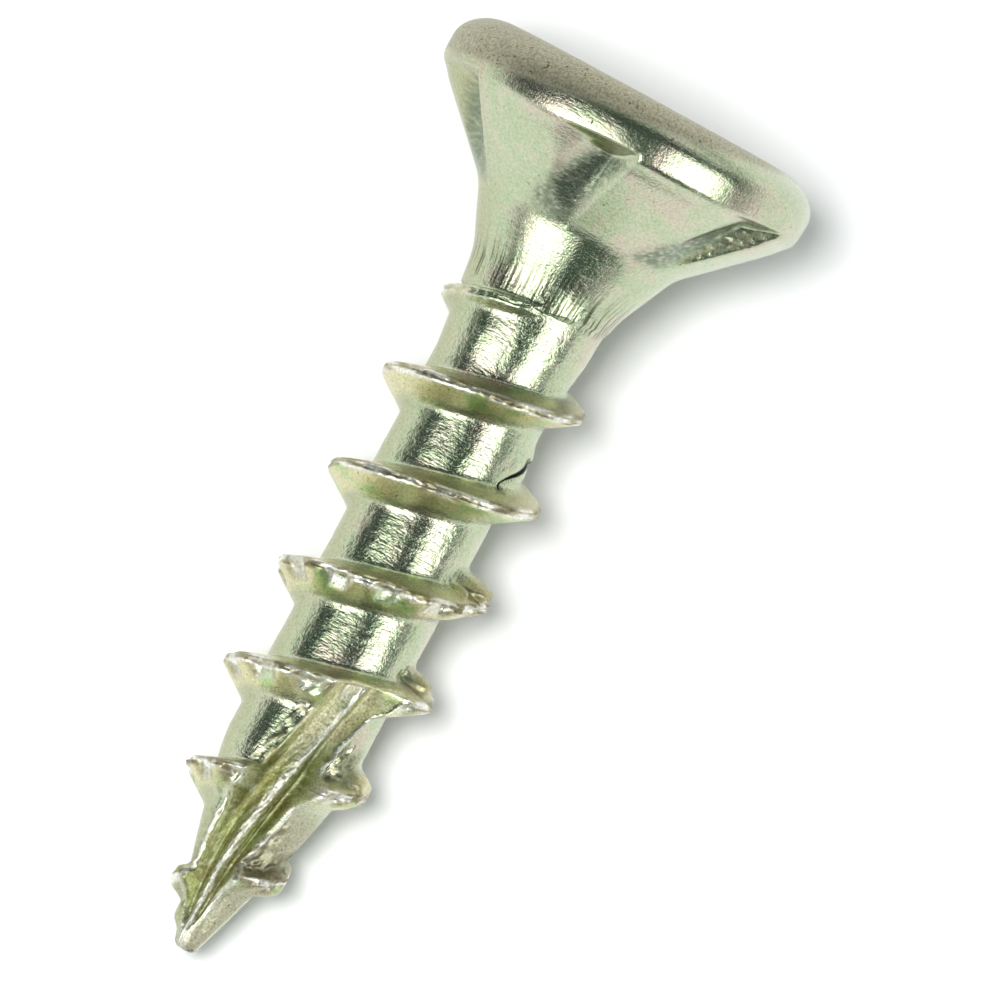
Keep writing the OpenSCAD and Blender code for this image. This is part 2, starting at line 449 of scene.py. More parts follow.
@dataclass(frozen=True)
class Thread:
    """The rolled right-hand thread with its notched crest."""

    blank: Blank
    fold: Fold = Fold()
    die_edge: DieEdge = DieEdge()
    pitch: float = 2.165 * MM
    crest_r: float = 2.085 * MM
    crest_w: float = 0.16 * MM
    head_flank: float = math.radians(17)
    point_flank: float = math.radians(32)
    first_crest_z: float = 1.66 * MM
    full_z: float = 11.3 * MM
    run_out_depth: float = 0.15 * MM
    run_out_drop: float = 1.6
    end_z: float = 14.3 * MM
    seam_depth: float = 0.03 * MM
    seam_share: float = 0.3
    wobble: float = 0.018 * MM
    wobble_reach: float = 0.13 * MM
    wobble_sink: float = 0.5
    crest_round: float = 0.03 * MM
    entry_len: float = 6.2 * MM
    entry_fullness: float = 2.3
    root_fillet: float = 0.16 * MM
    start_z: float = 0.5 * MM
    run_out_pitch: float = 1.92 * MM
    full_turns: float = 4.75
    notched_len: float = 9.2 * MM
    notches_per_turn: float = 10.53
    notch_start: float = math.radians(27.2)
    notch_half_width: float = math.radians(14)
    notch_depth: float = 0.34 * MM
    notch_reach: float = 0.6
    notch_back_share: float = 0.2
    notch_above: float = 0.1 * MM
    notch_flatness: float = 1.4
    notch_mean: float = 0.9
    notch_swing: float = 0.3
    notch_fade: float = 0.2 * MM
    least_h: float = 0.001 * MM
    lowest_turn: int = -1
    turns: int = 9
    burrs: tuple[Burr, ...] = (
        Burr(3, 86, 0.28 * MM, 2.03 * MM, 13, 0.2 * MM),
        Burr(3, 64, 0.22 * MM, 1.8 * MM, 8, 0.12 * MM),
        Burr(2, 84, 0.28 * MM, 1.84 * MM, 11, 0.2 * MM),
        Burr(1, 76, 0.2 * MM, 1.7 * MM, 18, 0.24 * MM),
        Burr(1, -90, 0.0, 1.75 * MM, 12, 0.09 * MM),
        Burr(0, 80, -0.15 * MM, 1.17 * MM, 38, 0.3 * MM),
        Burr(0, -86, 0.08 * MM, 0.93 * MM, 26, 0.26 * MM),
        Burr(0, -90, -0.42 * MM, 0.52 * MM, 30, 0.26 * MM),
    )
    worn: tuple[Burr, ...] = (
        Burr(0, 85, 0.0, 1.17 * MM, 60, 0.7 * MM),
        Burr(1, 80, 0.0, 1.76 * MM, 38, 0.4 * MM),
        Burr(3, 64, 0.1 * MM, 1.9 * MM, 8, 0.3 * MM),
    )
    scars: tuple[Burr, ...] = (
        Burr(3, 78, 0.2 * MM, 0.0, 24, 0.35 * MM),
        Burr(2, 76, 0.3 * MM, 0.0, 20, 0.26 * MM),
        Burr(1, 58, 0.4 * MM, 0.0, 16, 0.5 * MM),
        Burr(0, 70, 0.25 * MM, 0.0, 40, 0.3 * MM),
    )

    def crest_z(self, angle: Array) -> Array:
        """Height of the crest at an angle counted on through the turns."""
        late = np.maximum(angle / TURN - self.full_turns, 0)
        return self.first_crest_z + self.pitch * angle / TURN - (self.pitch - self.run_out_pitch) * late

    def from_turn(self, along: Array, z: Array) -> Array:
        """Height above the crest of one turn, which wanders a little."""
        offset = z - self.crest_z(along)
        return offset - self.wobble * ripple(along) * np.exp(-((offset / self.wobble_reach) ** 2))

    def beyond(self, distance: Array) -> Array:
        """Distance past the edge of the crest, with the edge rounded.

        Args:
            distance: Distance from the middle of the crest.

        Returns:
            The distance past the edge.
        """
        past = distance - self.crest_w / 2
        level = math.hypot(self.crest_w / 2, self.crest_round) - self.crest_w / 2
        return (past + np.hypot(past, self.crest_round) - level) / 2

    def crest_radius(self, z: Array) -> Array:
        """Radius of the crest before any notch.

        Args:
            z: Height of the crest.

        Returns:
            The radius.
        """
        share = np.clip(z / self.entry_len, 0, 1)
        rising = self.crest_r * (1 - (1 - share) ** self.entry_fullness)
        run_out = (z - self.full_z) / (self.blank.shank_z - self.full_z)
        ending = self.crest_r - (self.crest_r - self.blank.shank_r + self.run_out_depth) * run_out**2
        return np.where(z < self.full_z, rising, ending)

    def notch(self, angle: Array, z: Array) -> Array:
        """Depth of the notches in the crest.

        Args:
            angle: Angle counted on through the turns.
            z: Height of the crest there.

        Returns:
            The depth at the middle of the crest.
        """
        spacing = TURN / self.notches_per_turn
        from_middle = np.abs((angle - self.notch_start + spacing / 2) % spacing - spacing / 2)
        scoop = 0.5 + 0.5 * np.cos(math.pi * np.clip(from_middle / self.notch_half_width, 0, 1))
        scoop = np.clip(self.notch_flatness * scoop, 0, 1)
        depth = self.notch_depth * scoop * (self.notch_mean + self.notch_swing * ripple(angle / 3, 2.0))
        full = self.crest_r - self.blank.core_r
        tall = np.clip((self.crest_radius(z) - self.blank.core_at(z)) / full, 0, 1)
        return depth * tall * (1 - smooth_step(self.notched_len - self.notch_fade, self.notched_len, z))

    def surface(self, angle: Array, z: Array) -> Array:
        """Radius of the threaded body.

        Args:
            angle: Angle round the screw, from -pi to pi plus the lean of the mesh.
            z: Height.

        Returns:
            The radius at each angle and height.
        """
        body = self.blank.radius(z) - self.die_edge.depth_at(angle, z)
        body = body + self.fold.bulge_at(angle, z) - self.fold.depth_at(angle, z, body)
        ridge, lumps = np.zeros_like(body), body
        for turn in range(self.lowest_turn, self.lowest_turn + self.turns):
            along = angle + TURN * turn
            crest_z = self.crest_z(along)
            offset = self.from_turn(along, z)
            crest = self.crest_radius(crest_z)
            crest = crest - self.run_out_drop * np.maximum(crest_z - self.end_z, 0)
            near = np.exp(-((offset / self.wobble_reach) ** 2))
            crest = crest + self.wobble * (ripple(along, 1.0) - self.wobble_sink) * near
            above = self.beyond(offset)
            below = self.beyond(-offset)
            height = np.maximum(crest - self.blank.core_at(crest_z), self.least_h)
            reach = self.notch_reach * height * math.tan(self.point_flank)
            back = self.notch_back_share
            down = np.clip((self.crest_w / 2 - offset) / self.crest_w, 0, 1)
            share = (back + (1 - back) * down) * np.clip(1 - below / reach, 0, 1)
            share = np.where(above > 0, back * np.clip(1 - above / self.notch_above, 0, 1), share)
            radius = (
                crest
                - above / math.tan(self.head_flank)
                - below / math.tan(self.point_flank)
                - self.notch(along, crest_z) * share
                - self.seam_depth * np.clip(1 - np.abs(offset) / (self.seam_share * self.crest_w), 0, 1)
            )
            for worn in self.worn:
                share = worn.share(along, offset)
                radius = radius - share * np.maximum(radius - worn.top_r, 0)
            for burr in self.burrs:
                lumps = np.maximum(lumps, body + (burr.top_r - body) * burr.share(along, offset))
            ridge = np.maximum(ridge, np.where(crest_z > self.start_z, radius, 0))
        return np.maximum(soft_max(body, ridge, self.root_fillet), lumps)

    def from_crest(self, angle: Array, z: Array) -> tuple[Array, Array, Array]:
        """Looks for the nearest crest.

        Args:
            angle: Angle of each point.
            z: Height of each point.

        Returns:
            Height above the nearest crest, negative below it, how deep its notch is there, from 0
            to 1, and how scarred the metal is, from 0 to 1.
        """
        nearest = np.full_like(z, 1.0)
        notched = np.zeros_like(z)
        scarred = np.zeros_like(z)
        for turn in range(self.lowest_turn, self.lowest_turn + self.turns):
            along = angle + TURN * turn
            crest_z = self.crest_z(along)
            offset = self.from_turn(along, z)
            nearer = np.abs(offset) < np.abs(nearest)
            notched = np.where(nearer, self.notch(along, crest_z) / self.notch_depth, notched)
            nearest = np.where(nearer, offset, nearest)
            for scar in self.scars:
                scarred = np.maximum(scarred, scar.share(along, offset))
        return nearest, notched.clip(0, 1), scarred

    def levels(self) -> tuple[Array, Array]:
        """Heights of the mesh rows of one turn.

        Returns:
            Offsets of the rows beside the crest, and the shares of the way from the last of
            them to the first beside the next crest.
        """
        beside = (
            -0.70, -0.62, -0.56, -0.51, -0.46, -0.40, -0.34, -0.28, -0.22, -0.17, -0.12, -0.08, -0.04, 0.0,
            0.04, 0.08, 0.12, 0.16, 0.20, 0.24, 0.28, 0.32, 0.37, 0.44,
        )  # fmt: skip
        return np.array(beside) * MM, np.linspace(0, 1, 13)[1:-1]


@dataclass(frozen=True)
class Flute:
    """The cutting flute: two grooves with a ridge between them, leaning round the point."""

    blank: Blank
    length: float = 6.35 * MM
    depth: float = 0.36 * MM
    ridge_h: float = 0.17 * MM
    ridge_w: float = 0.13 * MM
    ridge_mark_w: float = 0.11 * MM
    ridge_chip: float = 0.035 * MM
    grit: float = 0.008 * MM
    left_w: float = 0.66 * MM
    right_w: float = 0.47 * MM
    closing: float = 0.22
    start: float = math.radians(-34.7)
    lean: float = math.radians(71)
    start_share: float = 0.3
    widening: float = 0.23 / MM
    end_rise: float = 0.345 * MM
    fade: float = 0.1 * MM
    tip_from: float = 0.22 * MM
    tip_full: float = 0.8 * MM
    run_out_z: float = 4.4 * MM
    run_out: float = 0.35
    striation: float = 0.005 * MM
    striation_w: float = 0.012 * MM
    hollow: float = 1.5
    lip_h: float = 0.055 * MM
    lip_w: float = 0.04 * MM
    torn_w: float = 0.42 * MM
    torn_top_z: float = 5.9 * MM
    torn_low_z: tuple[float, float] = (0.6 * MM, 1.2 * MM)
    torn_full: float = 0.35
    torn_inset: float = 0.05 * MM
    torn_left: float = 0.7
    left_squeeze: float = 1.6
    left_lip_z: tuple[float, float] = (2.6 * MM, 3.4 * MM)
    lip_top: float = 0.5 * MM
    closed_z: tuple[float, ...] = (3.9 * MM, 4.6 * MM, 5.3 * MM, 5.8 * MM)
    scuffed_w: tuple[float, ...] = (0.0, 0.1 * MM, 0.9 * MM, 1.3 * MM)
    scuffed_z: tuple[float, float] = (3.2 * MM, 3.8 * MM)
    widest: float = 0.9
    least_w: float = 1e-6 * MM
    ridge_share: float = 0.5
    edge_share: float = 0.85
    reach: float = math.radians(75)
    end_h: float = 1.5 * MM
    steepest: float = 0.2
    least_r: float = 0.05 * MM
    far_r: float = 4 * MM
    open_r: float = 9 * MM
    rounds: int = 4

    def angle(self, z: Array) -> Array:
        """Angle round the screw of the flute's ridge."""
        return self.start + self.lean * np.clip(z / self.length, 0, 1)

    def share(self, z: Array) -> Array:
        """Share of its full width that the flute has at a height."""
        opened = np.clip(self.start_share + self.widening * z, 0, 1)
        return opened * smooth_step(self.tip_from, self.tip_full, z)

    def right_edge(self, z: Array) -> Array:
        """Width of the right groove, which torn metal narrows two thirds of the way up."""
        return self.right_w * self.share(z) * (1 - self.closing * plateau(self.closed_z, z))

    def above_end(self, angle: Array, z: Array) -> Array:
        """Height above the upper end, which slants along the flank of the thread."""
        return z - self.length - self.end_rise * np.clip(angle - self.start - self.lean, -1, 1)

    def across(self, angle: Array, z: Array) -> Array:
        """Distance across the flute.

        Args:
            angle: Angle round the screw.
            z: Height.

        Returns:
            The distance from the ridge, more to the right.
        """
        away = (angle - self.angle(z) + math.pi) % TURN - math.pi
        core = self.blank.core_at(z)
        return np.where(np.abs(away) < math.pi / 2, core * np.sin(away), np.sign(away) * self.far_r)

    def surface(self, angle: Array, z: Array) -> Array:
        """Radius at which the flute's floor lies.

        Args:
            angle: Angle round the screw.
            z: Height.

        Returns:
            The radius, and a large one outside the flute.
        """
        away = (angle - self.angle(z) + math.pi) % TURN - math.pi
        core = self.blank.core_at(z)
        share = self.share(z)
        shallow = 1 - self.run_out * np.clip((z - self.run_out_z) / (self.length - self.run_out_z), 0, 1)
        foot = core - self.depth * share * shallow
        left = np.clip(self.left_w * share, self.least_w, core * self.widest)
        right = np.clip(self.right_edge(z), self.least_w, core * self.widest)
        middle = self.ridge_share
        radius = core.copy()
        for _ in range(self.rounds):
            across = radius * np.sin(away)
            width = np.where(across < 0, left, right)
            inside = np.clip(np.abs(across) / width, 0, 2)
            rise = np.where(
                inside < middle,
                foot + self.ridge_h * share * shallow * (1 - smooth_step(0.0, middle, inside)),
                foot + (core - foot) * (np.maximum(inside - middle, 0) / (1 - middle)) ** self.hollow,
            )
            radius = np.clip(rise / np.maximum(np.cos(away), self.steepest), self.least_r, self.far_r)
        radius = radius + self.striation * np.sin(across / self.striation_w) * (across > self.ridge_w)
        above = self.above_end(angle, z)
        open_side = (np.abs(away) > self.reach) | (above > self.fade)
        end = smooth_step(-self.fade, self.fade, above) * self.end_h
        return np.where(open_side, self.open_r, radius + end)

    def inside(self, angle: Array, z: Array) -> Array:
        """Marks the grooves.

        Args:
            angle: Angle round the screw.
            z: Height.

        Returns:
            1 in the grooves and 0 outside them.
        """
        across = self.across(angle, z)
        share = self.share(z)
        width = np.where(across < 0, self.left_w * share, self.right_edge(z)).clip(self.least_w)
        within = 1 - smooth_step(width * self.edge_share, width, np.abs(across))
        return within * (share > 0) * (self.above_end(angle, z) < 0)

    def ridge(self, angle: Array, z: Array) -> Array:
        """1 on the ridge between the grooves."""
        near = np.exp(-((self.across(angle, z) / self.ridge_mark_w) ** 2))
        return near * (self.above_end(angle, z) < 0)

    def lip(self, angle: Array, z: Array) -> Array:
        """Marks the torn lips along both sides of the grooves.

        Args:
            angle: Angle round the screw.
            z: Height.

        Returns:
            1 on the lips and 0 away from them.
        """
        across = self.across(angle, z)
        right = np.exp(-(((across - self.right_edge(z) - self.lip_w) / self.lip_w) ** 2))
        left = np.exp(-(((across + self.left_w * self.share(z) + self.lip_w) / self.lip_w) ** 2))
        left = left * (1 - smooth_step(*self.left_lip_z, z))
        lips = np.maximum(left, right) * (z < self.length - self.lip_top)
        return lips * smooth_step(*self.torn_low_z, z)

    def torn(self, angle: Array, z: Array) -> Array:
        """Marks the torn metal beside the flute.

        Args:
            angle: Angle round the screw.
            z: Height.

        Returns:
            How torn it is, from 0 to 1.
        """
        across = self.across(angle, z)
        right = across - self.right_edge(z)
        left = -across - self.left_w * self.share(z)
        beside = np.where(across > 0, right, left * self.left_squeeze)
        near = 1 - smooth_step(self.torn_full * self.torn_w, self.torn_w, beside)
        near = near * (beside > -self.torn_inset)
        # Two waves up the flute leave the patches where the photo shows them.
        patchy = smooth_step(-0.1, 0.5, np.sin(2.9 * z / MM + 0.6) + 0.3 * np.sin(7.1 * z / MM))
        near = near * np.where(across > 0, patchy, self.torn_left)
        near = near * (1 - smooth_step(self.torn_top_z, self.length, z))
        return near * smooth_step(*self.torn_low_z, z)

    def scuffed(self, angle: Array, z: Array) -> Array:
        """1 on the matt strip to the right of the flute near the point."""
        strip = plateau(self.scuffed_w, self.across(angle, z) - self.right_edge(z))
        return strip * (1 - smooth_step(*self.scuffed_z, z))


@dataclass(frozen=True)
class Pockets:
    """The saw-tooth cutting pockets under the head."""

    blank: Blank
    count: int = 6
    depth: float = 0.37 * MM
    start: float = math.radians(3)
    lean: float = math.radians(7.5)
    wall_draft: float = math.radians(41)
    step_draft: float = math.radians(58)
    corner_round: float = 0.1 * MM
    edge_round: float = 0.07 * MM
    scoop_depth: float = 0.26 * MM
    scoop_angle: float = math.radians(-0.5)
    scoop_lean: float = math.radians(17.5)
    scoop_w: float = 0.46 * MM
    scoop_top: float = 0.92
    reach: float = math.radians(38)
    least_facing: float = 0.05
    wall_shift: float = math.radians(2.2)
    wall_lean: float = math.radians(8.2)

    def surface(self, angle: Array, z: Array) -> Array:
        """Radius at which the pocket's floor, wall or step lies.

        Args:
            angle: Angle round the screw.
            z: Height.

        Returns:
            The radius.
        """
        pitch = TURN / self.count
        across = (angle - self.start + self.reach) % pitch - self.reach
        top_r = self.blank.head_r - self.depth
        floor = math.atan((top_r - self.blank.neck_r) / (self.blank.seat_z - self.blank.neck_z))
        rise = np.maximum(z, self.blank.neck_z) - self.blank.seat_z
        flat = (top_r + rise * math.tan(floor)) / np.cos(across)
        height = np.clip((z - self.blank.neck_z) / (self.blank.seat_z - self.blank.neck_z), 0, 1)
        scoop = self.punched(angle, z) * height * (1 - smooth_step(self.scoop_top, 1.0, height))
        flat = flat - self.scoop_depth * scoop
        slope = math.tan(self.step_draft)
        step = (math.cos(floor) + slope * math.sin(floor)) / (slope * math.cos(floor) - math.sin(floor))
        stepped = (top_r + rise * step) / np.cos(across)
        wall = math.tan(self.wall_draft)
        away = wall * math.cos(floor) + math.tan(self.lean) * math.sin(floor)
        along = wall * math.sin(floor) - math.tan(self.lean) * math.cos(floor)
        facing = (away * np.cos(across) - np.sin(across)).clip(self.least_facing)
        walled = (top_r * away + rise * along) / facing
        return soft_max(soft_max(flat, stepped, self.corner_round), walled, self.corner_round)

    def punched(self, angle: Array, z: Array) -> Array:
        """Marks the hollow that the punch left beside each wall, which is also tinted dark as painted
        shade.

        Args:
            angle: Angle round the screw.
            z: Height.

        Returns:
            1 in the hollow and 0 elsewhere.
        """
        blank = self.blank
        pitch = TURN / self.count
        share = np.clip((blank.seat_z - z) / (blank.seat_z - blank.neck_z), 0, 1)
        across = (angle - self.scoop_angle + self.scoop_lean * share + pitch / 2) % pitch - pitch / 2
        return np.exp(-((blank.radius(z) * across / self.scoop_w) ** 4))

    def wall_angle(self, z: Array) -> Array:
        """Angle round the screw of the middle of a wall, from the middle of its sector."""
        share = np.clip((self.blank.seat_z - z) / (self.blank.seat_z - self.blank.neck_z), 0, 1)
        return self.start + self.wall_shift - share * self.wall_lean


@dataclass(frozen=True)
class DriveRecess:
    """The six-lobe recess in the face."""

    lobes: int = 6
    lobe_r: float = 1.97 * MM
    hollow_r: float = 1.41 * MM
    round_r: float = 0.305 * MM
    depth: float = 1.6 * MM
    cone_h: float = 0.35 * MM
    edge_round: float = 0.05 * MM

    def outline(self, angle: Array) -> Array:
        """Outline of the recess: round lobes that run into round hollows.

        Args:
            angle: Angle round the screw.

        Returns:
            Radius of the wall.
        """
        half = math.pi / self.lobes
        away = np.abs((angle + half) % (2 * half) - half)
        centre = self.lobe_r - self.round_r
        squares = centre**2 + self.hollow_r**2 - 2 * centre * self.hollow_r * math.cos(half)
        squares -= self.round_r**2
        hollow = squares / (2 * (self.round_r + centre * math.cos(half) - self.hollow_r))
        hollow_centre = self.hollow_r + hollow
        touch = math.atan2(hollow_centre * math.sin(half), hollow_centre * math.cos(half) - centre)
        switch = math.atan2(self.round_r * math.sin(touch), centre + self.round_r * math.cos(touch))
        bulge = np.sqrt(np.maximum(self.round_r**2 - (centre * np.sin(away)) ** 2, 0))
        lobe = centre * np.cos(away) + bulge
        beside = half - away
        sink = np.sqrt(np.maximum(hollow**2 - (hollow_centre * np.sin(beside)) ** 2, 0))
        dip = hollow_centre * np.cos(beside) - sink
        return np.where(away < switch, lobe, dip)


@dataclass(frozen=True)
class Rest:
    """How the upright screw lies: on the rim of the head and on one crest."""

    blank: Blank
    thread: Thread

    @property
    def tilt(self) -> float:
        """How the screw tips until its first crest touches the floor.

        Returns:
            Angle that the axis rises from the floor towards the head.
        """
        foot_z = self.blank.seat_z + self.blank.seat_edge_r * math.tan(self.blank.seat_half_angle / 2)
        crests = [
            self.thread.first_crest_z + self.thread.pitch * (turn + 0.5)
            for turn in range(int(self.thread.full_z / self.thread.pitch))
        ]
        gaps = [self.blank.head_r - float(self.thread.crest_radius(np.array(z))) for z in crests]
        return min(math.atan(gap / (foot_z - z)) for gap, z in zip(gaps, crests))

    @property
    def axis_x(self) -> float:
        """Place of the axis across the screw, once the tilt is undone round the frame's origin."""
        return (Matrix.Rotation(self.tilt - math.pi / 2, 4, "Y") @ self.place().translation).x

    def place(self) -> Matrix:
        """Lays the upright screw down on its rim and one crest.

        Returns:
            The matrix from the upright screw to the row frame.
        """
        tilt = self.tilt
        cos, sin = math.cos(tilt), math.sin(tilt)
        outline = self.blank.outline()
        right = float(np.max(outline[:, 1] * cos + outline[:, 0] * sin))
        left = -self.blank.tip_r * sin
        bottom = float(np.max(outline[:, 0] * cos - outline[:, 1] * sin))
        return Matrix(
            (
                (-sin, 0, cos, -(left + right) / 2),
                (0, -1, 0, 0),
                (cos, 0, sin, bottom),
                (0, 0, 0, 1),
            )
        )


class Mark(Enum):
    """Where the plating looks different or where shade and highlights are painted, as the name of the mesh
    attribute that marks it.
    """

    FLANK = "flank"
    CREST = "crest"
    FACE = "face"
    GROOVE = "groove"
    # Torn metal and scars, with painted shade on the notches' rims, the crest's upper edge and the pocket
    # walls.
    TORN_AND_SHADE = "torn"
    RIDGE = "ridge"
    # Bare metal, with the notches' floors as painted highlight.
    EDGE = "edge"
    GREEN = "green"
    CRACK = "crack"
    FROM_CRACK = "from_crack"
    # Painted shade along one side of the screw.
    SIDE = "side"
    OLIVE = "olive"
    # Painted shade in the pockets' punched hollows.
    PUNCH_SHADE = "punched"
    DRAWN = "drawn"
    HEIGHT = "height"


@dataclass(frozen=True)
class Patch:
    """How the plating, or the painted shade or highlight, looks where a mark is full."""

    mark: Mark
    colour: str
    roughness: float


@dataclass(frozen=True)
class ZincPassivate:
    """Rolled steel, zinc plated and passivated, which gives a pale green-gold metal.

    The tumbled plating reflects in mottled patches, stays matt and brownish on the forged face
    and in the cut flute, and wears to bare silver along the edges of the crests. The plating's own
    crystals are too fine to show, so the grain is drawn some ten times coarser.
    """

    name: str = "zinc_passivated_steel"
    plate: str = "#c8ccb2"
    green: str = "#bac9a8"
    pink: str = "#cdc4b2"
    grime: str = "#a3977a"
    speck: str = "#4a3c28"
    line: str = "#54563f"
    smooth: float = 0.12
    dull: float = 0.26
    noise_roughness: float = 0.6
    dent_size: float = 0.15 * MM
    dent_depth: float = 0.014 * MM
    rolled_w: float = 0.22 * MM
    rolled_h: float = 0.045 * MM
    rolled_depth: float = 0.0095 * MM
    grain_size: float = 0.04 * MM
    grain_depth: float = 0.0055 * MM
    grain_range: tuple[float, float] = (0.35, 0.72)
    cloud_size: float = 1.1 * MM
    cloud_stops: tuple[float, ...] = (0.3, 0.38, 0.48, 0.57, 0.68)
    warm_heights: tuple[float, float] = (0.55, 0.8)
    warmths: tuple[float, float] = (-0.09, -0.055)
    mottle_size: float = 0.055 * MM
    mottle_range: tuple[float, float] = (0.38, 0.66)
    grime_roughness: tuple[float, float] = (0.2, 0.5)
    grime_shares: tuple[float, float] = (0.35, 0.72)
    speck_size: float = 0.11 * MM
    speck_range: tuple[float, float] = (0.67, 0.74)
    face_specks: float = 0.045
    line_w: float = 0.085 * MM
    line_r: float = 1.75 * MM
    line_len: float = 1.3 * MM
    line_depth: float = 0.009 * MM
    line_range: tuple[float, float] = (0.48, 0.42)
    line_share: float = 0.85
    line_least: float = 0.1
    crack_edge: tuple[float, float] = (0.12, 0.24)
    calm_heights: tuple[float, float] = (0.77, 0.81)
    calm_share: float = 0.45
    patches: tuple[Patch, ...] = (
        # Painted shade: this patch darkens one side of the screw, head included.
        Patch(Mark.SIDE, "#b4b894", 0.26),
        Patch(Mark.FLANK, "#dedbb0", 0.3),
        Patch(Mark.CREST, "#bdb897", 0.3),
        Patch(Mark.FACE, "#bab7a0", 0.48),
        # Painted shade: this patch tints the punched hollow beside each pocket wall dark.
        Patch(Mark.PUNCH_SHADE, "#7c8a76", 0.22),
        Patch(Mark.GROOVE, "#eaeac8", 0.6),
        Patch(Mark.OLIVE, "#9ea367", 0.5),
        # Partly painted shade: besides torn metal and scars, this patch darkens the notches' rims, the
        # crest's upper edge and the pocket walls.
        Patch(Mark.TORN_AND_SHADE, "#7f7755", 0.42),
        Patch(Mark.GREEN, "#b7d293", 0.3),
        Patch(Mark.RIDGE, "#e4e5da", 0.45),
        # Partly painted highlight: besides worn crest edges and grit, this patch lightens the floors of
        # the notches.
        Patch(Mark.EDGE, "#fbfbf4", 0.3),
        Patch(Mark.CRACK, "#14120c", 0.7),
    )

    def material(self, tilt: float, axis_x: float) -> bpy.types.Material:
        """Builds the material.

        Args:
            tilt: Angle that the screw's axis rises from the floor.
            axis_x: Place of the axis once the tilt is undone.

        Returns:
            The material, its patterns sized in the row frame.
        """
        made = bpy.data.materials.new(self.name)
        made.use_nodes = True
        tree = made.node_tree
        tree.nodes.clear()
        shares = {mark: add_node(tree, Kind.MARK, attribute_name=mark.value) for mark in Mark}
        place = add_node(tree, Kind.PLACE)
        upright = add_node(tree, Kind.MAPPING, {"Vector": place, "Rotation": (0, tilt - math.pi / 2, 0)})
        fine = self.pattern(tree, upright, self.grain_size)
        drawn = self.drawing(tree, upright, axis_x)
        away = add_node(tree, Kind.MATHS, (shares[Mark.FROM_CRACK],), operation="ABSOLUTE")
        line = add_node(tree, Kind.RANGE, (away, *self.crack_edge, 1.0, 0.0))
        shares[Mark.CRACK] = add_node(tree, Kind.MATHS, (shares[Mark.CRACK], line), operation="MULTIPLY")
        tint = self.clouds(tree, upright, shares[Mark.HEIGHT])
        rough = add_node(tree, Kind.RANGE, (fine, *self.grain_range, self.smooth, self.dull))
        for patch in self.patches:
            layers = {0: shares[patch.mark], 6: tint, 7: linear(patch.colour)}
            tint = add_node(tree, Kind.TINT, layers, data_type="RGBA")
            rough = add_node(tree, Kind.MIX, {0: shares[patch.mark], 2: rough, 3: patch.roughness})
        tint = self.stained(tree, upright, shares, tint, rough, drawn)
        relief = self.relief(tree, upright, shares, fine, drawn)
        metal = add_node(
            tree, Kind.METAL, {"Base Color": tint, "Metallic": 1.0, "Roughness": rough, "Normal": relief}
        )
        add_node(tree, Kind.SURFACE, {"Surface": metal})
        return made

    def clouds(self, tree: Tree, upright: Socket, height: Socket) -> Socket:
        """Pastel clouds of the passivate, greener towards the point.

        Args:
            tree: The material's tree.
            upright: Place on the upright screw.
            height: Share of the way from the point to the face.

        Returns:
            The tint.
        """
        cloud = self.pattern(tree, upright, self.cloud_size, detail=4.0)
        warmth = add_node(tree, Kind.RANGE, (height, *self.warm_heights, *self.warmths))
        warmer = add_node(tree, Kind.MATHS, (cloud, warmth), operation="ADD")
        tint = add_node(tree, Kind.RAMP, (warmer,))
        colours = (self.plate, self.green, self.plate, self.pink, self.plate)
        elements = tint.node.color_ramp.elements
        while len(elements) < len(colours):
            elements.new(0.5)
        for element, position, colour in zip(elements, self.cloud_stops, colours):
            element.position = position
            element.color = linear(colour)
        return tint

    def stained(
        self,
        tree: Tree,
        upright: Socket,
        shares: dict[Mark, Socket],
        tint: Socket,
        rough: Socket,
        drawn: Socket,
    ) -> Socket:
        """Lays grime, dark drawing lines and specks over the tint.

        Args:
            tree: The material's tree.
            upright: Place on the upright screw.
            shares: The marks of the mesh.
            tint: The clean tint.
            rough: The roughness, which holds the grime.
            drawn: The drawing lines.

        Returns:
            The stained tint.
        """
        mottle = self.pattern(tree, upright, self.mottle_size, detail=4.0)
        mottle = add_node(tree, Kind.RANGE, (mottle, *self.mottle_range, 0.0, 1.0))
        amount = add_node(tree, Kind.RANGE, (rough, *self.grime_roughness, *self.grime_shares))
        amount = add_node(tree, Kind.MATHS, (mottle, amount), operation="MULTIPLY")
        layers = {0: 1.0, 6: tint, 7: linear(self.grime)}
        grimy = add_node(tree, Kind.TINT, layers, data_type="RGBA", blend_type="MULTIPLY")
        lines = add_node(tree, Kind.RANGE, (drawn, *self.line_range, 0.0, self.line_share))
        lines = add_node(tree, Kind.MATHS, (lines, shares[Mark.DRAWN]), operation="MULTIPLY")
        specks = self.pattern(tree, upright, self.speck_size, detail=4.0)
        specks = add_node(
            tree, Kind.MATHS, (shares[Mark.FACE], self.face_specks, specks), operation="MULTIPLY_ADD"
        )
        specks = add_node(tree, Kind.RANGE, (specks, *self.speck_range, 0.0, 1.0))
        for share, over in ((amount, grimy), (lines, linear(self.line)), (specks, linear(self.speck))):
            tint = add_node(tree, Kind.TINT, {0: share, 6: tint, 7: over}, data_type="RGBA")
        return tint

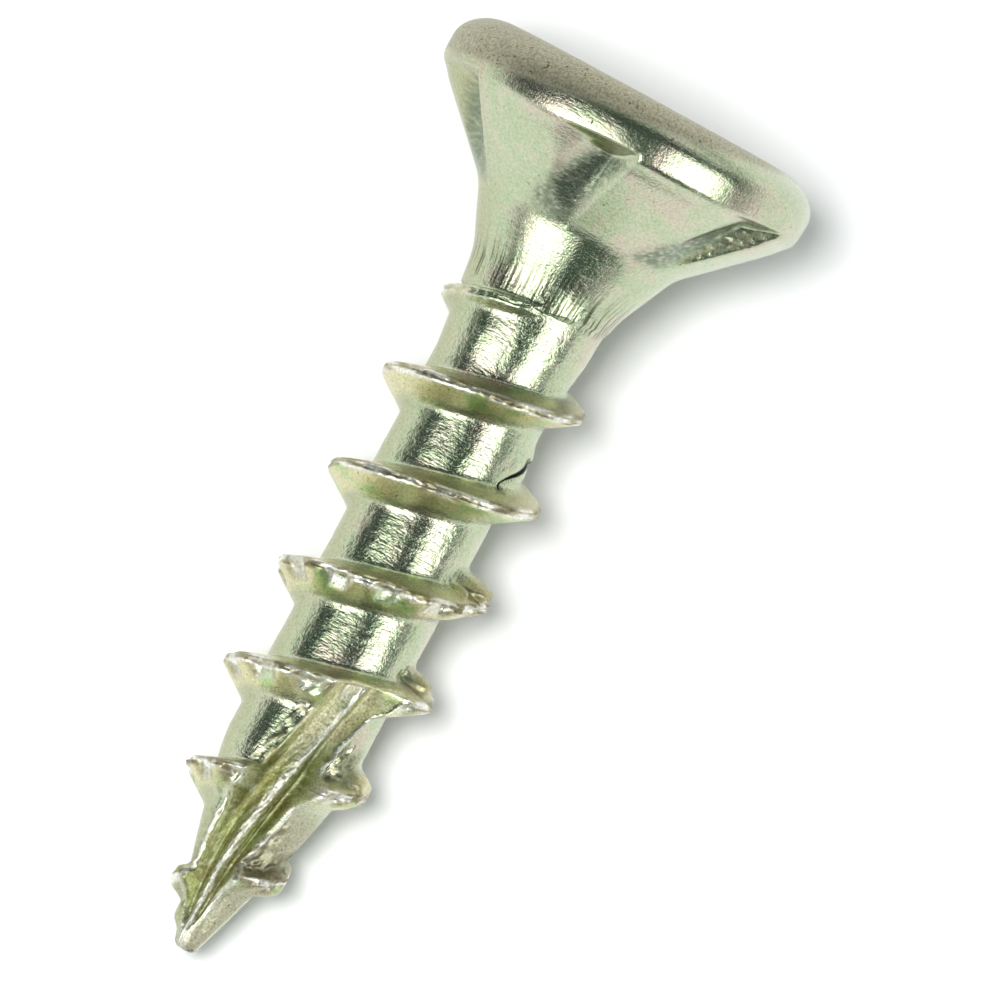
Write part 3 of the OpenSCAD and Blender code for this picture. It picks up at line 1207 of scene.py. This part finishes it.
    def relief(
        self, tree: Tree, upright: Socket, shares: dict[Mark, Socket], fine: Socket, drawn: Socket
    ) -> Socket:
        """Hammered dents, rolling marks, drawing lines and grain.

        Args:
            tree: The material's tree.
            upright: Place on the upright screw.
            shares: The marks of the mesh.
            fine: The grain.
            drawn: The drawing lines.

        Returns:
            The bumped normal.
        """
        dents = self.pattern(tree, upright, self.dent_size)
        rolled = self.pattern(tree, upright, self.rolled_w, self.rolled_h)
        lines = add_node(tree, Kind.RANGE, (shares[Mark.DRAWN], 0.0, 1.0, self.line_least, 1.0))
        calm = add_node(tree, Kind.RANGE, (shares[Mark.HEIGHT], *self.calm_heights, 1.0, self.calm_share))
        bump = None
        for height, depth, strength in (
            (dents, self.dent_depth, calm),
            (rolled, self.rolled_depth, calm),
            (drawn, self.line_depth, lines),
            (fine, self.grain_depth, 1.0),
        ):
            inputs = {"Strength": strength, "Distance": depth, "Height": height}
            if bump:
                inputs["Normal"] = bump
            bump = add_node(tree, Kind.BUMP, inputs)
        return bump

    def drawing(self, tree: Tree, upright: Socket, axis_x: float) -> Socket:
        """Lines that run straight up the neck however it widens.

        Args:
            tree: The material's tree.
            upright: Place on the upright screw.
            axis_x: Place of the axis across the upright screw.

        Returns:
            The uneven height of the lines.
        """
        level = add_node(
            tree, Kind.VECTOR, (upright, (1.0, 1.0, 0.0), (-axis_x, 0.0, 0.0)), operation="MULTIPLY_ADD"
        )
        level = add_node(tree, Kind.VECTOR, (level,), operation="NORMALIZE")
        around = add_node(tree, Kind.VECTOR, (level, (self.line_r,) * 3), operation="MULTIPLY")
        unrolled = (upright, (0.0, 0.0, 1.0), around)
        unrolled = add_node(tree, Kind.VECTOR, unrolled, operation="MULTIPLY_ADD")
        return self.pattern(tree, unrolled, self.line_w, self.line_len, 1.5)

    def pattern(
        self, tree: Tree, place: Socket, around: float, along: float | None = None, detail: float = 3.0
    ) -> Socket:
        """Uneven noise, drawn out along the screw where its two sizes differ.

        Args:
            tree: The material's tree.
            place: Where the noise is read.
            around: The width of its lumps.
            along: Their length, if it isn't the width.
            detail: How many finer layers of noise are added.

        Returns:
            The noise, about 0.5 on average.
        """
        scale = (1 / around, 1 / around, 1 / (along or around))
        sized = add_node(tree, Kind.MAPPING, {"Vector": place, "Scale": scale})
        lumps = {"Vector": sized, "Scale": 1.0, "Detail": detail, "Roughness": self.noise_roughness}
        return add_node(tree, Kind.NOISE, lumps)


@dataclass(frozen=True)
class ScrewBody:
    """The whole screw as one closed mesh of rows and columns, from the point to the recess."""

    blank: Blank
    thread: Thread
    flute: Flute
    pockets: Pockets
    recess: DriveRecess
    name: str = "screw_body"
    columns: int = 200
    crowding: float = 0.45
    top_z: float = 14.9 * MM
    upper_rows: int = 118
    torn_depth: float = 0.1 * MM
    crest_chip: float = 0.03 * MM
    clearance: float = 0.006 * MM
    shaded_side_from: float = math.radians(42)
    shaded_side_full: float = math.radians(72)
    streak_squeeze: float = 0.18
    crown_z: float = 18.285 * MM
    crown_swing: float = 0.25 * MM
    crown_drop: float = 0.045 * MM
    matt_z: float = 18.45 * MM
    matt_swing: float = 0.5 * MM
    matt_h: float = 0.18 * MM
    wall_w: float = 0.2 * MM
    drawn_z: float = 14.7 * MM
    drawn_h: float = 0.45 * MM
    drawn_from: float = 14.4 * MM
    settle_h: float = 4 * MM
    rim_crowding: float = 2.2
    rim_crowd_z: float = 0.1 * MM
    rim_crowd_h: float = 0.35 * MM
    wall_crowding: float = 1.6
    flute_round: float = 0.04 * MM
    bead_size: float = 0.07 * MM
    chip_size: float = 0.13 * MM
    pool_size: float = 0.4 * MM
    streak_size: float = 0.07 * MM
    proud_r: tuple[float, float] = (0.12 * MM, 0.3 * MM)
    grit_z: tuple[float, float] = (4.4 * MM, 5.6 * MM)
    olive_z: tuple[float, float] = (3.9 * MM, 5.1 * MM)
    low_edge_w: float = 0.035 * MM
    high_edge_w: float = 0.03 * MM
    crack_h: float = 0.12 * MM
    rim_share: float = 0.12
    cut_depth: tuple[float, float] = (0.03 * MM, 0.1 * MM)
    wall_chip: float = 0.03 * MM
    wall_chip_size: float = 0.12 * MM
    dent_size: float = 0.5 * MM
    dent_depth: float = 0.012
    pit_size: float = 0.17 * MM
    pit_depth: float = 0.009
    neck_calm: float = 0.6

    def column_angles(self) -> Array:
        """Angles of the columns, closer together on the side that faces up."""
        even = np.linspace(-math.pi, math.pi, self.columns + 1)
        return even - self.crowding * np.sin(even)

    def lean(self, z: Array) -> Array:
        """Leans the columns, so that they follow the flute up the point.

        Args:
            z: Height.

        Returns:
            The angle that they lean by.
        """
        flute = self.flute
        heights = (0, flute.length, flute.length + self.settle_h)
        return np.interp(z, heights, (flute.start, flute.start + flute.lean, 0))

    def threaded_rows(self) -> tuple[Array, Array]:
        """Angles and heights of the rows that follow the thread.

        Returns:
            Two arrays with a row for each mesh row and a column for each angle.
        """
        base = self.column_angles()
        beside, between = self.thread.levels()
        angles, heights = [], []
        for turn in range(self.thread.lowest_turn, self.thread.lowest_turn + self.thread.turns):
            places = [(offset, 0.0) for offset in beside] + [(0.0, share) for share in between]
            for offset, share in places:
                z = self.thread.crest_z(base + TURN * turn)
                for _ in range(6):
                    angle = base + self.lean(z)
                    here = self.thread.crest_z(angle + TURN * turn)
                    z = here + offset
                    if share:
                        up = self.thread.crest_z(angle + TURN * (turn + 1)) + beside[0]
                        z = (here + beside[-1]) * (1 - share) + up * share
                    z = np.clip(z, 0, self.top_z)
                angles.append(base + self.lean(z))
                heights.append(z)
        return np.array(angles), np.array(heights)

    def upper_outline(self) -> Array:
        """Outline of the neck and the head in even steps, closer together round the rim.

        Returns:
            Points as rows of radius and height, from just above the thread to the face.
        """
        outline = self.blank.outline()
        outline = outline[outline[:, 1] > self.top_z]
        outline = np.vstack([[float(self.blank.radius(np.array(self.top_z))), self.top_z], outline])
        lengths = np.concatenate([[0], np.cumsum(np.linalg.norm(np.diff(outline, axis=0), axis=1))])
        from_rim = (outline[:, 1] - self.blank.seat_z - self.rim_crowd_z) / self.rim_crowd_h
        near_rim = 1 + self.rim_crowding * np.exp(-(from_rim**2))
        mid = (near_rim[1:] + near_rim[:-1]) / 2
        weight = np.concatenate([[0], np.cumsum(np.diff(lengths) * mid)])
        wanted = np.linspace(0, weight[-1], self.upper_rows)
        at = np.interp(wanted, weight, lengths)
        return np.stack([np.interp(at, lengths, outline[:, i]) for i in range(2)], axis=1)

    def crowd_walls(self, angle: Array, z: Array) -> Array:
        """Moves the columns towards the walls of the pockets, on the countersink only.

        Args:
            angle: Angles of the columns.
            z: Height.

        Returns:
            The angles after the move.
        """
        sector = TURN / self.pockets.count
        wall = self.pockets.wall_angle(z)
        away = (angle - wall + sector / 2) % sector - sector / 2
        closer = np.sign(away) * sector / 2 * (np.abs(away) / (sector / 2)) ** self.wall_crowding
        blank = self.blank
        neck, seat = blank.neck_z, blank.seat_z
        heights = (neck - 0.9 * MM, neck - 0.1 * MM, seat + 0.15 * MM, blank.length - 0.1 * MM)
        return angle + plateau(heights, z) * (closer - away)

    def marks(self, angle: Array, z: Array, **given: Array) -> Array:
        """Marks of one stretch of the mesh.

        Args:
            angle: Angle of each point.
            z: Height of each point.
            **given: The marks that aren't 0, by attribute name.

        Returns:
            An array with a last axis that has a value for each mark.
        """
        given[Mark.HEIGHT.value] = z / self.blank.length
        drawn = np.exp(-((np.maximum(z - self.drawn_z, 0) / self.drawn_h) ** 2))
        drawn = drawn * smooth_step(-0.05 * MM, 0.05 * MM, z - self.drawn_from)
        given[Mark.DRAWN.value] = np.maximum(drawn, given.get(Mark.DRAWN.value, 0))
        return np.stack([given.get(mark.value, 0) + np.zeros_like(angle) for mark in Mark], axis=-1)

    def side(self, angle: Array) -> Array:
        """1 along the side that is painted darker as shade, and 0 elsewhere."""
        return smooth_step(self.shaded_side_from, self.shaded_side_full, -angle)

    def threaded(self) -> tuple[Array, ...]:
        """Builds the threaded stretch, with its worn crest, its burrs and the torn flute.

        Returns:
            Angle, radius, height and marks of its points.
        """
        angle, z = self.threaded_rows()
        plain = self.blank.radius(z)
        flute = self.flute
        from_crack, crack = self.thread.fold.crack(angle, z, plain)
        whole = self.thread.surface(angle, z)
        radius = soft_min(whole, flute.surface(angle, z), self.flute_round)
        lip = flute.lip(angle, z)
        torn = flute.torn(angle, z)
        points = np.stack([plain * np.cos(angle), plain * np.sin(angle), z], axis=-1)
        beads = (grain(points, self.bead_size, 3.1) * 1.2 + 0.6).clip(0, 1)
        chips = grain(points, self.chip_size, 5.7)
        radius = radius + flute.lip_h * lip * (0.3 + beads)
        radius = radius + self.torn_depth * torn * (chips - 0.25)
        pools = grain(points, self.pool_size, 8.3)
        offset, notched, scarred = self.thread.from_crest(angle, z)
        half = self.thread.crest_w / 2
        proud = smooth_step(*self.proud_r, radius - plain)
        radius = radius + flute.ridge_chip * flute.ridge(angle, z) * (beads - 0.6)
        grooved = flute.inside(angle, z)
        gritty = grooved * (1 - smooth_step(*self.grit_z, z))
        radius = radius + flute.grit * gritty * (beads - 0.6)
        radius = radius + self.torn_depth * scarred * (chips - 0.2)
        crest = (1 - smooth_step(half * 1.1, half * 1.6, np.abs(offset))) * proud
        squeeze = self.streak_squeeze
        run = np.stack([squeeze * plain * angle, offset, squeeze * z], axis=-1)
        streaks = grain(run, self.streak_size, 4.4)
        lower = np.exp(-(((offset + half) / self.low_edge_w) ** 2)) * proud
        upper = np.exp(-(((offset - half) / self.high_edge_w) ** 2)) * proud
        edge = np.maximum(lower * smooth_step(-0.3, 0.2, streaks), crest * smooth_step(0.0, 0.3, streaks))
        # Painted shade: the crest's upper edge is darkened for the shade along it; the dark streaks along
        # the crest are uneven tone.
        dark_streaks_and_edge_shade = np.maximum(0.8 * upper, 0.8 * crest * smooth_step(0.05, 0.35, -streaks))
        radius = radius + self.crest_chip * proud * np.exp(-((offset / half) ** 2)) * (beads - 0.6)
        # Painted highlight and shade: the floors of the notches are lightened and their rims darkened, for
        # the light and shade of the scooped notches.
        notch_side = smooth_step(-4.5 * half, -3 * half, offset)
        facet_highlight = smooth_step(0.35, 0.7, notched) * notch_side * (offset < half)
        rim = notched * (1 - notched) * 3 * notch_side * (offset < half)
        # The bare metal of the crest's edges and the grit in the grooves, and the notches' floors
        # lightened as a painted highlight.
        bare = (edge, 0.8 * facet_highlight * (0.5 + 0.5 * chips), 0.3 * gritty * smooth_step(0.8, 1.0, beads))
        # The dark places: torn metal, the notches' rims and the crest's upper edge as painted shade, dark
        # streaks along the crest, scars and between the grit.
        dark = (
            torn * np.maximum(smooth_step(-0.1, 0.3, chips), proud),
            0.7 * rim,
            dark_streaks_and_edge_shade,
            0.5 * scarred,
            gritty * (0.18 + 0.5 * smooth_step(0.45, 0.2, beads)),
        )
        pooled = np.maximum(proud * (offset < -half), grooved * (0.7 - 0.45 * gritty))
        ridged = np.maximum(flute.ridge(angle, z) * (0.7 + 0.4 * beads), lip * (0.4 + 0.6 * beads))
        marks = self.marks(
            angle,
            z,
            flank=proud * (1 - 0.8 * facet_highlight),
            crest=crest * (1 - 0.8 * facet_highlight),
            edge=np.maximum.reduce(bare).clip(0, 1),
            groove=grooved,
            green=smooth_step(0.05, 0.45, pools) * pooled,
            crack=crack * (radius - plain - self.thread.fold.bulge_at(angle, z) < self.crack_h),
            from_crack=from_crack,
            side=self.side(angle),
            olive=grooved * (1 - smooth_step(*self.olive_z, z)),
            face=0.8 * flute.scuffed(angle, z),
            ridge=ridged.clip(0, 1),
            torn=np.maximum.reduce(dark).clip(0, 1),
            drawn=0.2 * grooved,
        )
        return angle, radius, z, marks

    def headed(self) -> tuple[Array, ...]:
        """Builds the neck and the head up to the flat of the face.

        Returns:
            Angle, radius, height and marks of its points.
        """
        outline = self.upper_outline()[1:]
        z = np.repeat(outline[:, 1:2], self.columns + 1, axis=1)
        angle = self.crowd_walls(np.repeat(self.column_angles()[None, :], len(outline), axis=0), z)
        blank_r = np.repeat(outline[:, 0:1], self.columns + 1, axis=1)
        neck_z, seat_z = self.blank.neck_z, self.blank.seat_z
        crown_z = self.crown_z + self.crown_swing * np.sin(angle)
        low = np.clip((crown_z - z) / (crown_z - seat_z), 0, 1)
        blank_r = blank_r - self.crown_drop * low**2 * smooth_step(0, 0.3 * MM, z - seat_z + 0.4 * MM)
        radius = soft_min(blank_r, self.pockets.surface(angle, z), self.pockets.edge_round)
        rim = smooth_step(seat_z - 0.1 * MM, seat_z + 0.1 * MM, z)
        matt_z = self.matt_z + self.matt_swing * np.sin(angle)
        face = self.rim_share * rim + (1 - self.rim_share) * smooth_step(0, self.matt_h, z - matt_z)
        cut = smooth_step(*self.cut_depth, blank_r - radius)
        sector = TURN / self.pockets.count
        from_wall = (angle - self.pockets.wall_angle(z) + sector / 2) % sector - sector / 2
        wall = cut * (np.abs(blank_r * from_wall) < self.wall_w) * (z < seat_z)
        points = np.stack([radius * np.cos(angle), radius * np.sin(angle), z], axis=-1)
        chips = grain(points, self.wall_chip_size, 9.1)
        wall = wall * (angle > sector / 2)
        wall[:, -1] = wall[:, 0]  # both are the seam, which has to stay closed
        radius = radius + self.wall_chip * wall * (chips - 0.2)
        # Partly painted shade: the pocket walls are darkened in patches, for their torn metal and for the
        # shade they lie in.
        torn = 0.5 * wall * smooth_step(-0.6, 0.1, chips)
        flecks = grain(points, self.bead_size, 2.6)
        # Painted shade: the punched hollows, away from the walls, are marked for a dark tint.
        punched = self.pockets.punched(angle, z) * smooth_step(0.1 * MM, 0.2 * MM, seat_z - z)
        punched = punched * smooth_step(neck_z - 0.1 * MM, neck_z + 0.2 * MM, z)
        punched = (punched * (0.95 + 1.3 * flecks)).clip(0, 1) * (1 - wall)
        marks = self.marks(angle, z, face=face, torn=torn, punched=punched, side=self.side(angle))
        return angle, radius, z, marks

    def recessed(self, angle: Array, outer: float) -> list[tuple[Array, ...]]:
        """Rows of the flat of the face and the drive recess.

        Args:
            angle: Angles of the columns.
            outer: Radius at which the flat starts.

        Returns:
            The rows, each as angle, radius, height and marks.
        """
        wall = self.recess.outline(angle)
        top = self.blank.length
        floor = top - self.recess.depth
        edge = self.recess.edge_round
        cone = self.recess.hollow_r * 0.9
        rows = []
        for share in np.linspace(0, 1, 9)[1:-1]:
            rows.append((outer + (wall + edge - outer) * share, top))
        for turn in np.linspace(0, math.pi / 2, 4):
            rows.append((wall + edge * (1 - math.sin(turn)), top - edge * (1 - math.cos(turn))))
        for share in np.linspace(0, 1, 10)[1:]:
            rows.append((wall, top - edge + (floor - top + edge) * share))
        for share in np.linspace(0, 1, 4)[1:]:
            rows.append((wall + (cone - wall) * share, floor))
        for share in np.linspace(1, 0, 6)[1:]:
            rows.append((cone * share + 0 * wall, floor - self.recess.cone_h * (1 - share)))
        return [self.ring(angle, radius, z) for radius, z in rows]

    def ring(self, angle: Array, radius: Array, z: float) -> tuple[Array, ...]:
        """One level row of the mesh, with the finish of the face.

        Args:
            angle: Angles of the columns.
            radius: Radius at each column.
            z: Height of the row.

        Returns:
            Angle, radius, height and marks of its points, as one row.
        """
        level = np.full_like(angle, z)
        marks = self.marks(angle, level, face=np.full_like(angle, float(z > self.drawn_z)))
        return angle[None], radius[None], level[None], marks[None]

    def mesh_points(self) -> tuple[Array, Array]:
        """Points of the upright screw with their marks.

        Returns:
            An array of rows by columns by x, y and z, and one of rows by columns by mark.
        """
        base = self.column_angles()
        headed = self.headed()
        rows = [self.ring(base + self.lean(np.zeros_like(base)), 0 * base, 0.0), self.threaded(), headed]
        rows += self.recessed(headed[0][-1], float(self.blank.outline()[-1, 0]))
        angle, radius, z, marks = (np.concatenate([row[i] for row in rows]) for i in range(4))
        points = np.stack([radius * np.cos(angle), radius * np.sin(angle), z], axis=-1)
        return points, marks

    def roughen(self, points: Array) -> Array:
        """Dents the surface a little, inwards, as tumbling leaves it.

        Args:
            points: Points of the upright screw, as rows by columns by x, y and z.

        Returns:
            The dented points, as rows of x, y and z.
        """
        flat = points.reshape(-1, 3)
        dents = np.clip(grain(flat, self.dent_size), -1, 1) * 0.5 + 0.5
        pits = np.clip(grain(flat, self.pit_size, 7.3), -1, 1) * 0.5 + 0.5
        calm = 1 - self.neck_calm * smooth_step(self.drawn_z, self.top_z + 0.4 * MM, flat[:, 2])
        depth = (dents * self.dent_depth + pits * self.pit_depth) * MM * calm + self.clearance
        reach = np.linalg.norm(flat[:, :2], axis=1)
        inward = np.where(reach > 0.1 * MM, 1 - depth / np.maximum(reach, 0.1 * MM), 1)
        return flat * np.stack([inward, inward, np.ones_like(inward)], axis=1)

    def build(self, rest: Rest, finish: ZincPassivate) -> bpy.types.Object:
        """Builds and dresses the screw.

        Args:
            rest: How it lies.
            finish: What it is plated with.

        Returns:
            The piece that stands for the CAD node.
        """
        points, marks = self.mesh_points()
        count, width = points.shape[:2]
        flat = self.roughen(points)
        first = np.arange(count - 1)[:, None] * width + np.arange(width - 1)[None, :]
        faces = np.stack([first, first + 1, first + width + 1, first + width], axis=-1).reshape(-1, 4)
        mesh = bpy.data.meshes.new(self.name)
        mesh.from_pydata(flat.tolist(), [], faces.tolist())
        for i, mark in enumerate(Mark):
            attribute = mesh.attributes.new(mark.value, "FLOAT", "POINT")
            attribute.data.foreach_set("value", marks[..., i].astype(np.float32).ravel())
        made = bmesh.new()
        made.from_mesh(mesh)
        bmesh.ops.remove_doubles(made, verts=made.verts, dist=1e-4 * MM)
        bmesh.ops.recalc_face_normals(made, faces=made.faces)
        for face in made.faces:
            face.smooth = True
        made.to_mesh(mesh)
        made.free()
        mesh.transform(rest.place())
        mesh.materials.append(finish.material(rest.tilt, rest.axis_x))
        piece = bpy.data.objects.new(self.name, mesh)
        bpy.context.scene.collection.objects.link(piece)
        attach(piece, "root")
        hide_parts("screw")
        LOG.info("%s: %d vertices, %d faces", self.name, len(mesh.vertices), len(mesh.polygons))
        return piece


class Serves(Enum):
    """What a soft box lights, as the light's own visibility switch that is turned off."""

    METAL = "visible_diffuse"
    FLOOR = "visible_glossy"


@dataclass(frozen=True)
class SoftBox:
    """A rectangular soft light, placed by angles from the line of sight, in degrees."""

    name: str
    serves: Serves
    right: float
    up: float
    width: float
    length: float
    radiance: float
    distance: float = 1.2

    def build(self, view: "View") -> bpy.types.Object:
        """Hangs the light.

        Args:
            view: The camera, whose directions the light is placed by.

        Returns:
            The light object.
        """
        lamp = bpy.data.lights.new(self.name, "AREA")
        lamp.shape = "RECTANGLE"
        right, up = math.radians(self.right), math.radians(self.up)
        lamp.size = 2 * self.distance * math.tan(math.radians(self.width) / 2)
        lamp.size_y = 2 * self.distance * math.tan(math.radians(self.length) / 2)
        lamp.energy = self.radiance * math.pi * lamp.size * lamp.size_y
        light = bpy.data.objects.new(lamp.name, lamp)
        bpy.context.scene.collection.objects.link(light)
        level = view.back * math.cos(right) + view.across * math.sin(right)
        direction = level * math.cos(up) + view.along * math.sin(up)
        x_axis = (view.across * math.cos(right) - view.back * math.sin(right)).normalized()
        y_axis = direction.cross(x_axis).normalized()
        turned = Matrix((x_axis, y_axis, direction)).transposed().to_4x4()
        light.matrix_world = Matrix.Translation(view.aim + direction * self.distance) @ turned
        light.visible_camera = False
        setattr(light, self.serves.value, False)
        LOG.info("%s: %.2f x %.2f m", light.name, lamp.size, lamp.size_y)
        return light


@dataclass(frozen=True)
class View:
    """The camera: square to the screw's axis, with the screw leaning across the picture."""

    place: Matrix
    tilt: float
    lean: float = math.radians(28.6)
    aim_right: float = 1.232 * MM
    aim_up: float = 10.73 * MM
    frame_width: float = 19.646 * MM
    distance: float = 0.8
    sensor: float = 36.0

    @property
    def along(self) -> Vector:
        """Direction from the point to the head."""
        return (self.place.to_3x3() @ Vector((0, 0, 1))).normalized()

    @property
    def across(self) -> Vector:
        """Direction to the right of the screw with its head up."""
        return (self.place.to_3x3() @ Vector((0, 1, 0))).normalized()

    @property
    def back(self) -> Vector:
        """Direction from the screw to the camera."""
        return (self.place.to_3x3() @ Vector((1, 0, 0))).normalized()

    @property
    def aim(self) -> Vector:
        """The point in the middle of the picture."""
        return self.place @ Vector((0, self.aim_right, self.aim_up))

    def build(self) -> bpy.types.Object:
        """Sets up the camera and makes it the scene's own.

        Returns:
            The camera object.
        """
        lens = bpy.data.cameras.new("camera")
        lens.sensor_width = self.sensor
        lens.lens = self.sensor * self.distance / self.frame_width
        lens.clip_end = 10.0
        camera = bpy.data.objects.new("camera", lens)
        bpy.context.scene.collection.objects.link(camera)
        cos, sin = math.cos(self.lean), math.sin(self.lean)
        right = self.along * sin + self.across * cos
        up = self.along * cos - self.across * sin
        turned = Matrix((right, up, self.back)).transposed().to_4x4()
        camera.matrix_world = Matrix.Translation(self.aim + self.back * self.distance) @ turned
        bpy.context.scene.camera = camera
        LOG.info("camera: lens %.0f mm at %.2f m", lens.lens, self.distance)
        return camera


@dataclass(frozen=True)
class Studio:
    """The pale floor, the soft boxes and the plain room round them."""

    view: View
    floor_size: float = 4.0
    floor_colour: str = "#f4f4f4"
    horizon: float = 0.84
    ceiling: str = "#4a5856"
    glow_heights: tuple[float, float] = (0.02, 0.2)
    floor_roughness: float = 0.9
    boxes: tuple[SoftBox, ...] = (
        SoftBox("left_box", Serves.METAL, -27, -30.5, 44, 42, 4.4),
        SoftBox("right_box", Serves.METAL, 47, -12, 34, 34, 4.4),
        SoftBox("head_box", Serves.METAL, 0, 66, 110, 36, 0.8),
        SoftBox("key", Serves.FLOOR, -10, 0, 15, 15, 38.0),
        SoftBox("fill", Serves.FLOOR, 0, 0, 90, 90, 0.75),
    )

    def floor(self) -> bpy.types.Object:
        """Lays the floor, a matt white board, which throws a soft shadow and no gloss.

        Returns:
            The floor, as stage.
        """
        half = self.floor_size / 2
        mesh = bpy.data.meshes.new("studio_floor")
        points = [(-half, -half, 0), (half, -half, 0), (half, half, 0), (-half, half, 0)]
        mesh.from_pydata(points, [], [(0, 1, 2, 3)])
        made = bpy.data.materials.new("matt_white_board")
        made.use_nodes = True
        shader = made.node_tree.nodes["Principled BSDF"]
        shader.inputs["Base Color"].default_value = linear(self.floor_colour)
        shader.inputs["Roughness"].default_value = self.floor_roughness
        shader.inputs["Specular IOR Level"].default_value = 0.0
        mesh.materials.append(made)
        floor = bpy.data.objects.new("studio_floor", mesh)
        bpy.context.scene.collection.objects.link(floor)
        floor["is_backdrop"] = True
        LOG.info("studio_floor: %.1f m square", self.floor_size)
        return floor

    def room(self) -> None:
        """Lights the room, pale round the horizon and dim overhead."""
        world = bpy.data.worlds.new("studio_room")
        world.use_nodes = True
        tree = world.node_tree
        tree.nodes.clear()
        height = add_node(tree, Kind.SEPARATE, (add_node(tree, Kind.DIRECTION),))
        share = add_node(tree, Kind.RANGE, (height, *self.glow_heights), interpolation_type="SMOOTHSTEP")
        glow = (self.horizon, self.horizon, self.horizon, 1.0)
        colour = add_node(tree, Kind.TINT, {0: share, 6: glow, 7: linear(self.ceiling)}, data_type="RGBA")
        add_node(tree, Kind.WORLD, {"Surface": add_node(tree, Kind.GLOW, {"Color": colour})})
        bpy.context.scene.world = world

    def build(self) -> None:
        """Builds the floor, the room and the lights."""
        self.floor()
        self.room()
        for box in self.boxes:
            box.build(self.view)
        bpy.context.scene.view_settings.view_transform = "Standard"


def corners() -> list[list[float]]:
    """The lowest and highest corner of what is shown, as plain lists."""
    return [list(corner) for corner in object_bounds()]


def main() -> None:
    """Builds the screw, the camera and the studio."""
    logging.basicConfig(level=logging.INFO, format="%(message)s")
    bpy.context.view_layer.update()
    blank = Blank()
    thread = Thread(blank)
    rest = Rest(blank, thread)
    body = ScrewBody(blank, thread, Flute(blank), Pockets(blank), DriveRecess())
    body.build(rest, ZincPassivate())
    view = View(rest.place(), rest.tilt)
    view.build()
    Studio(view).build()


if __name__ == "__main__":
    main()
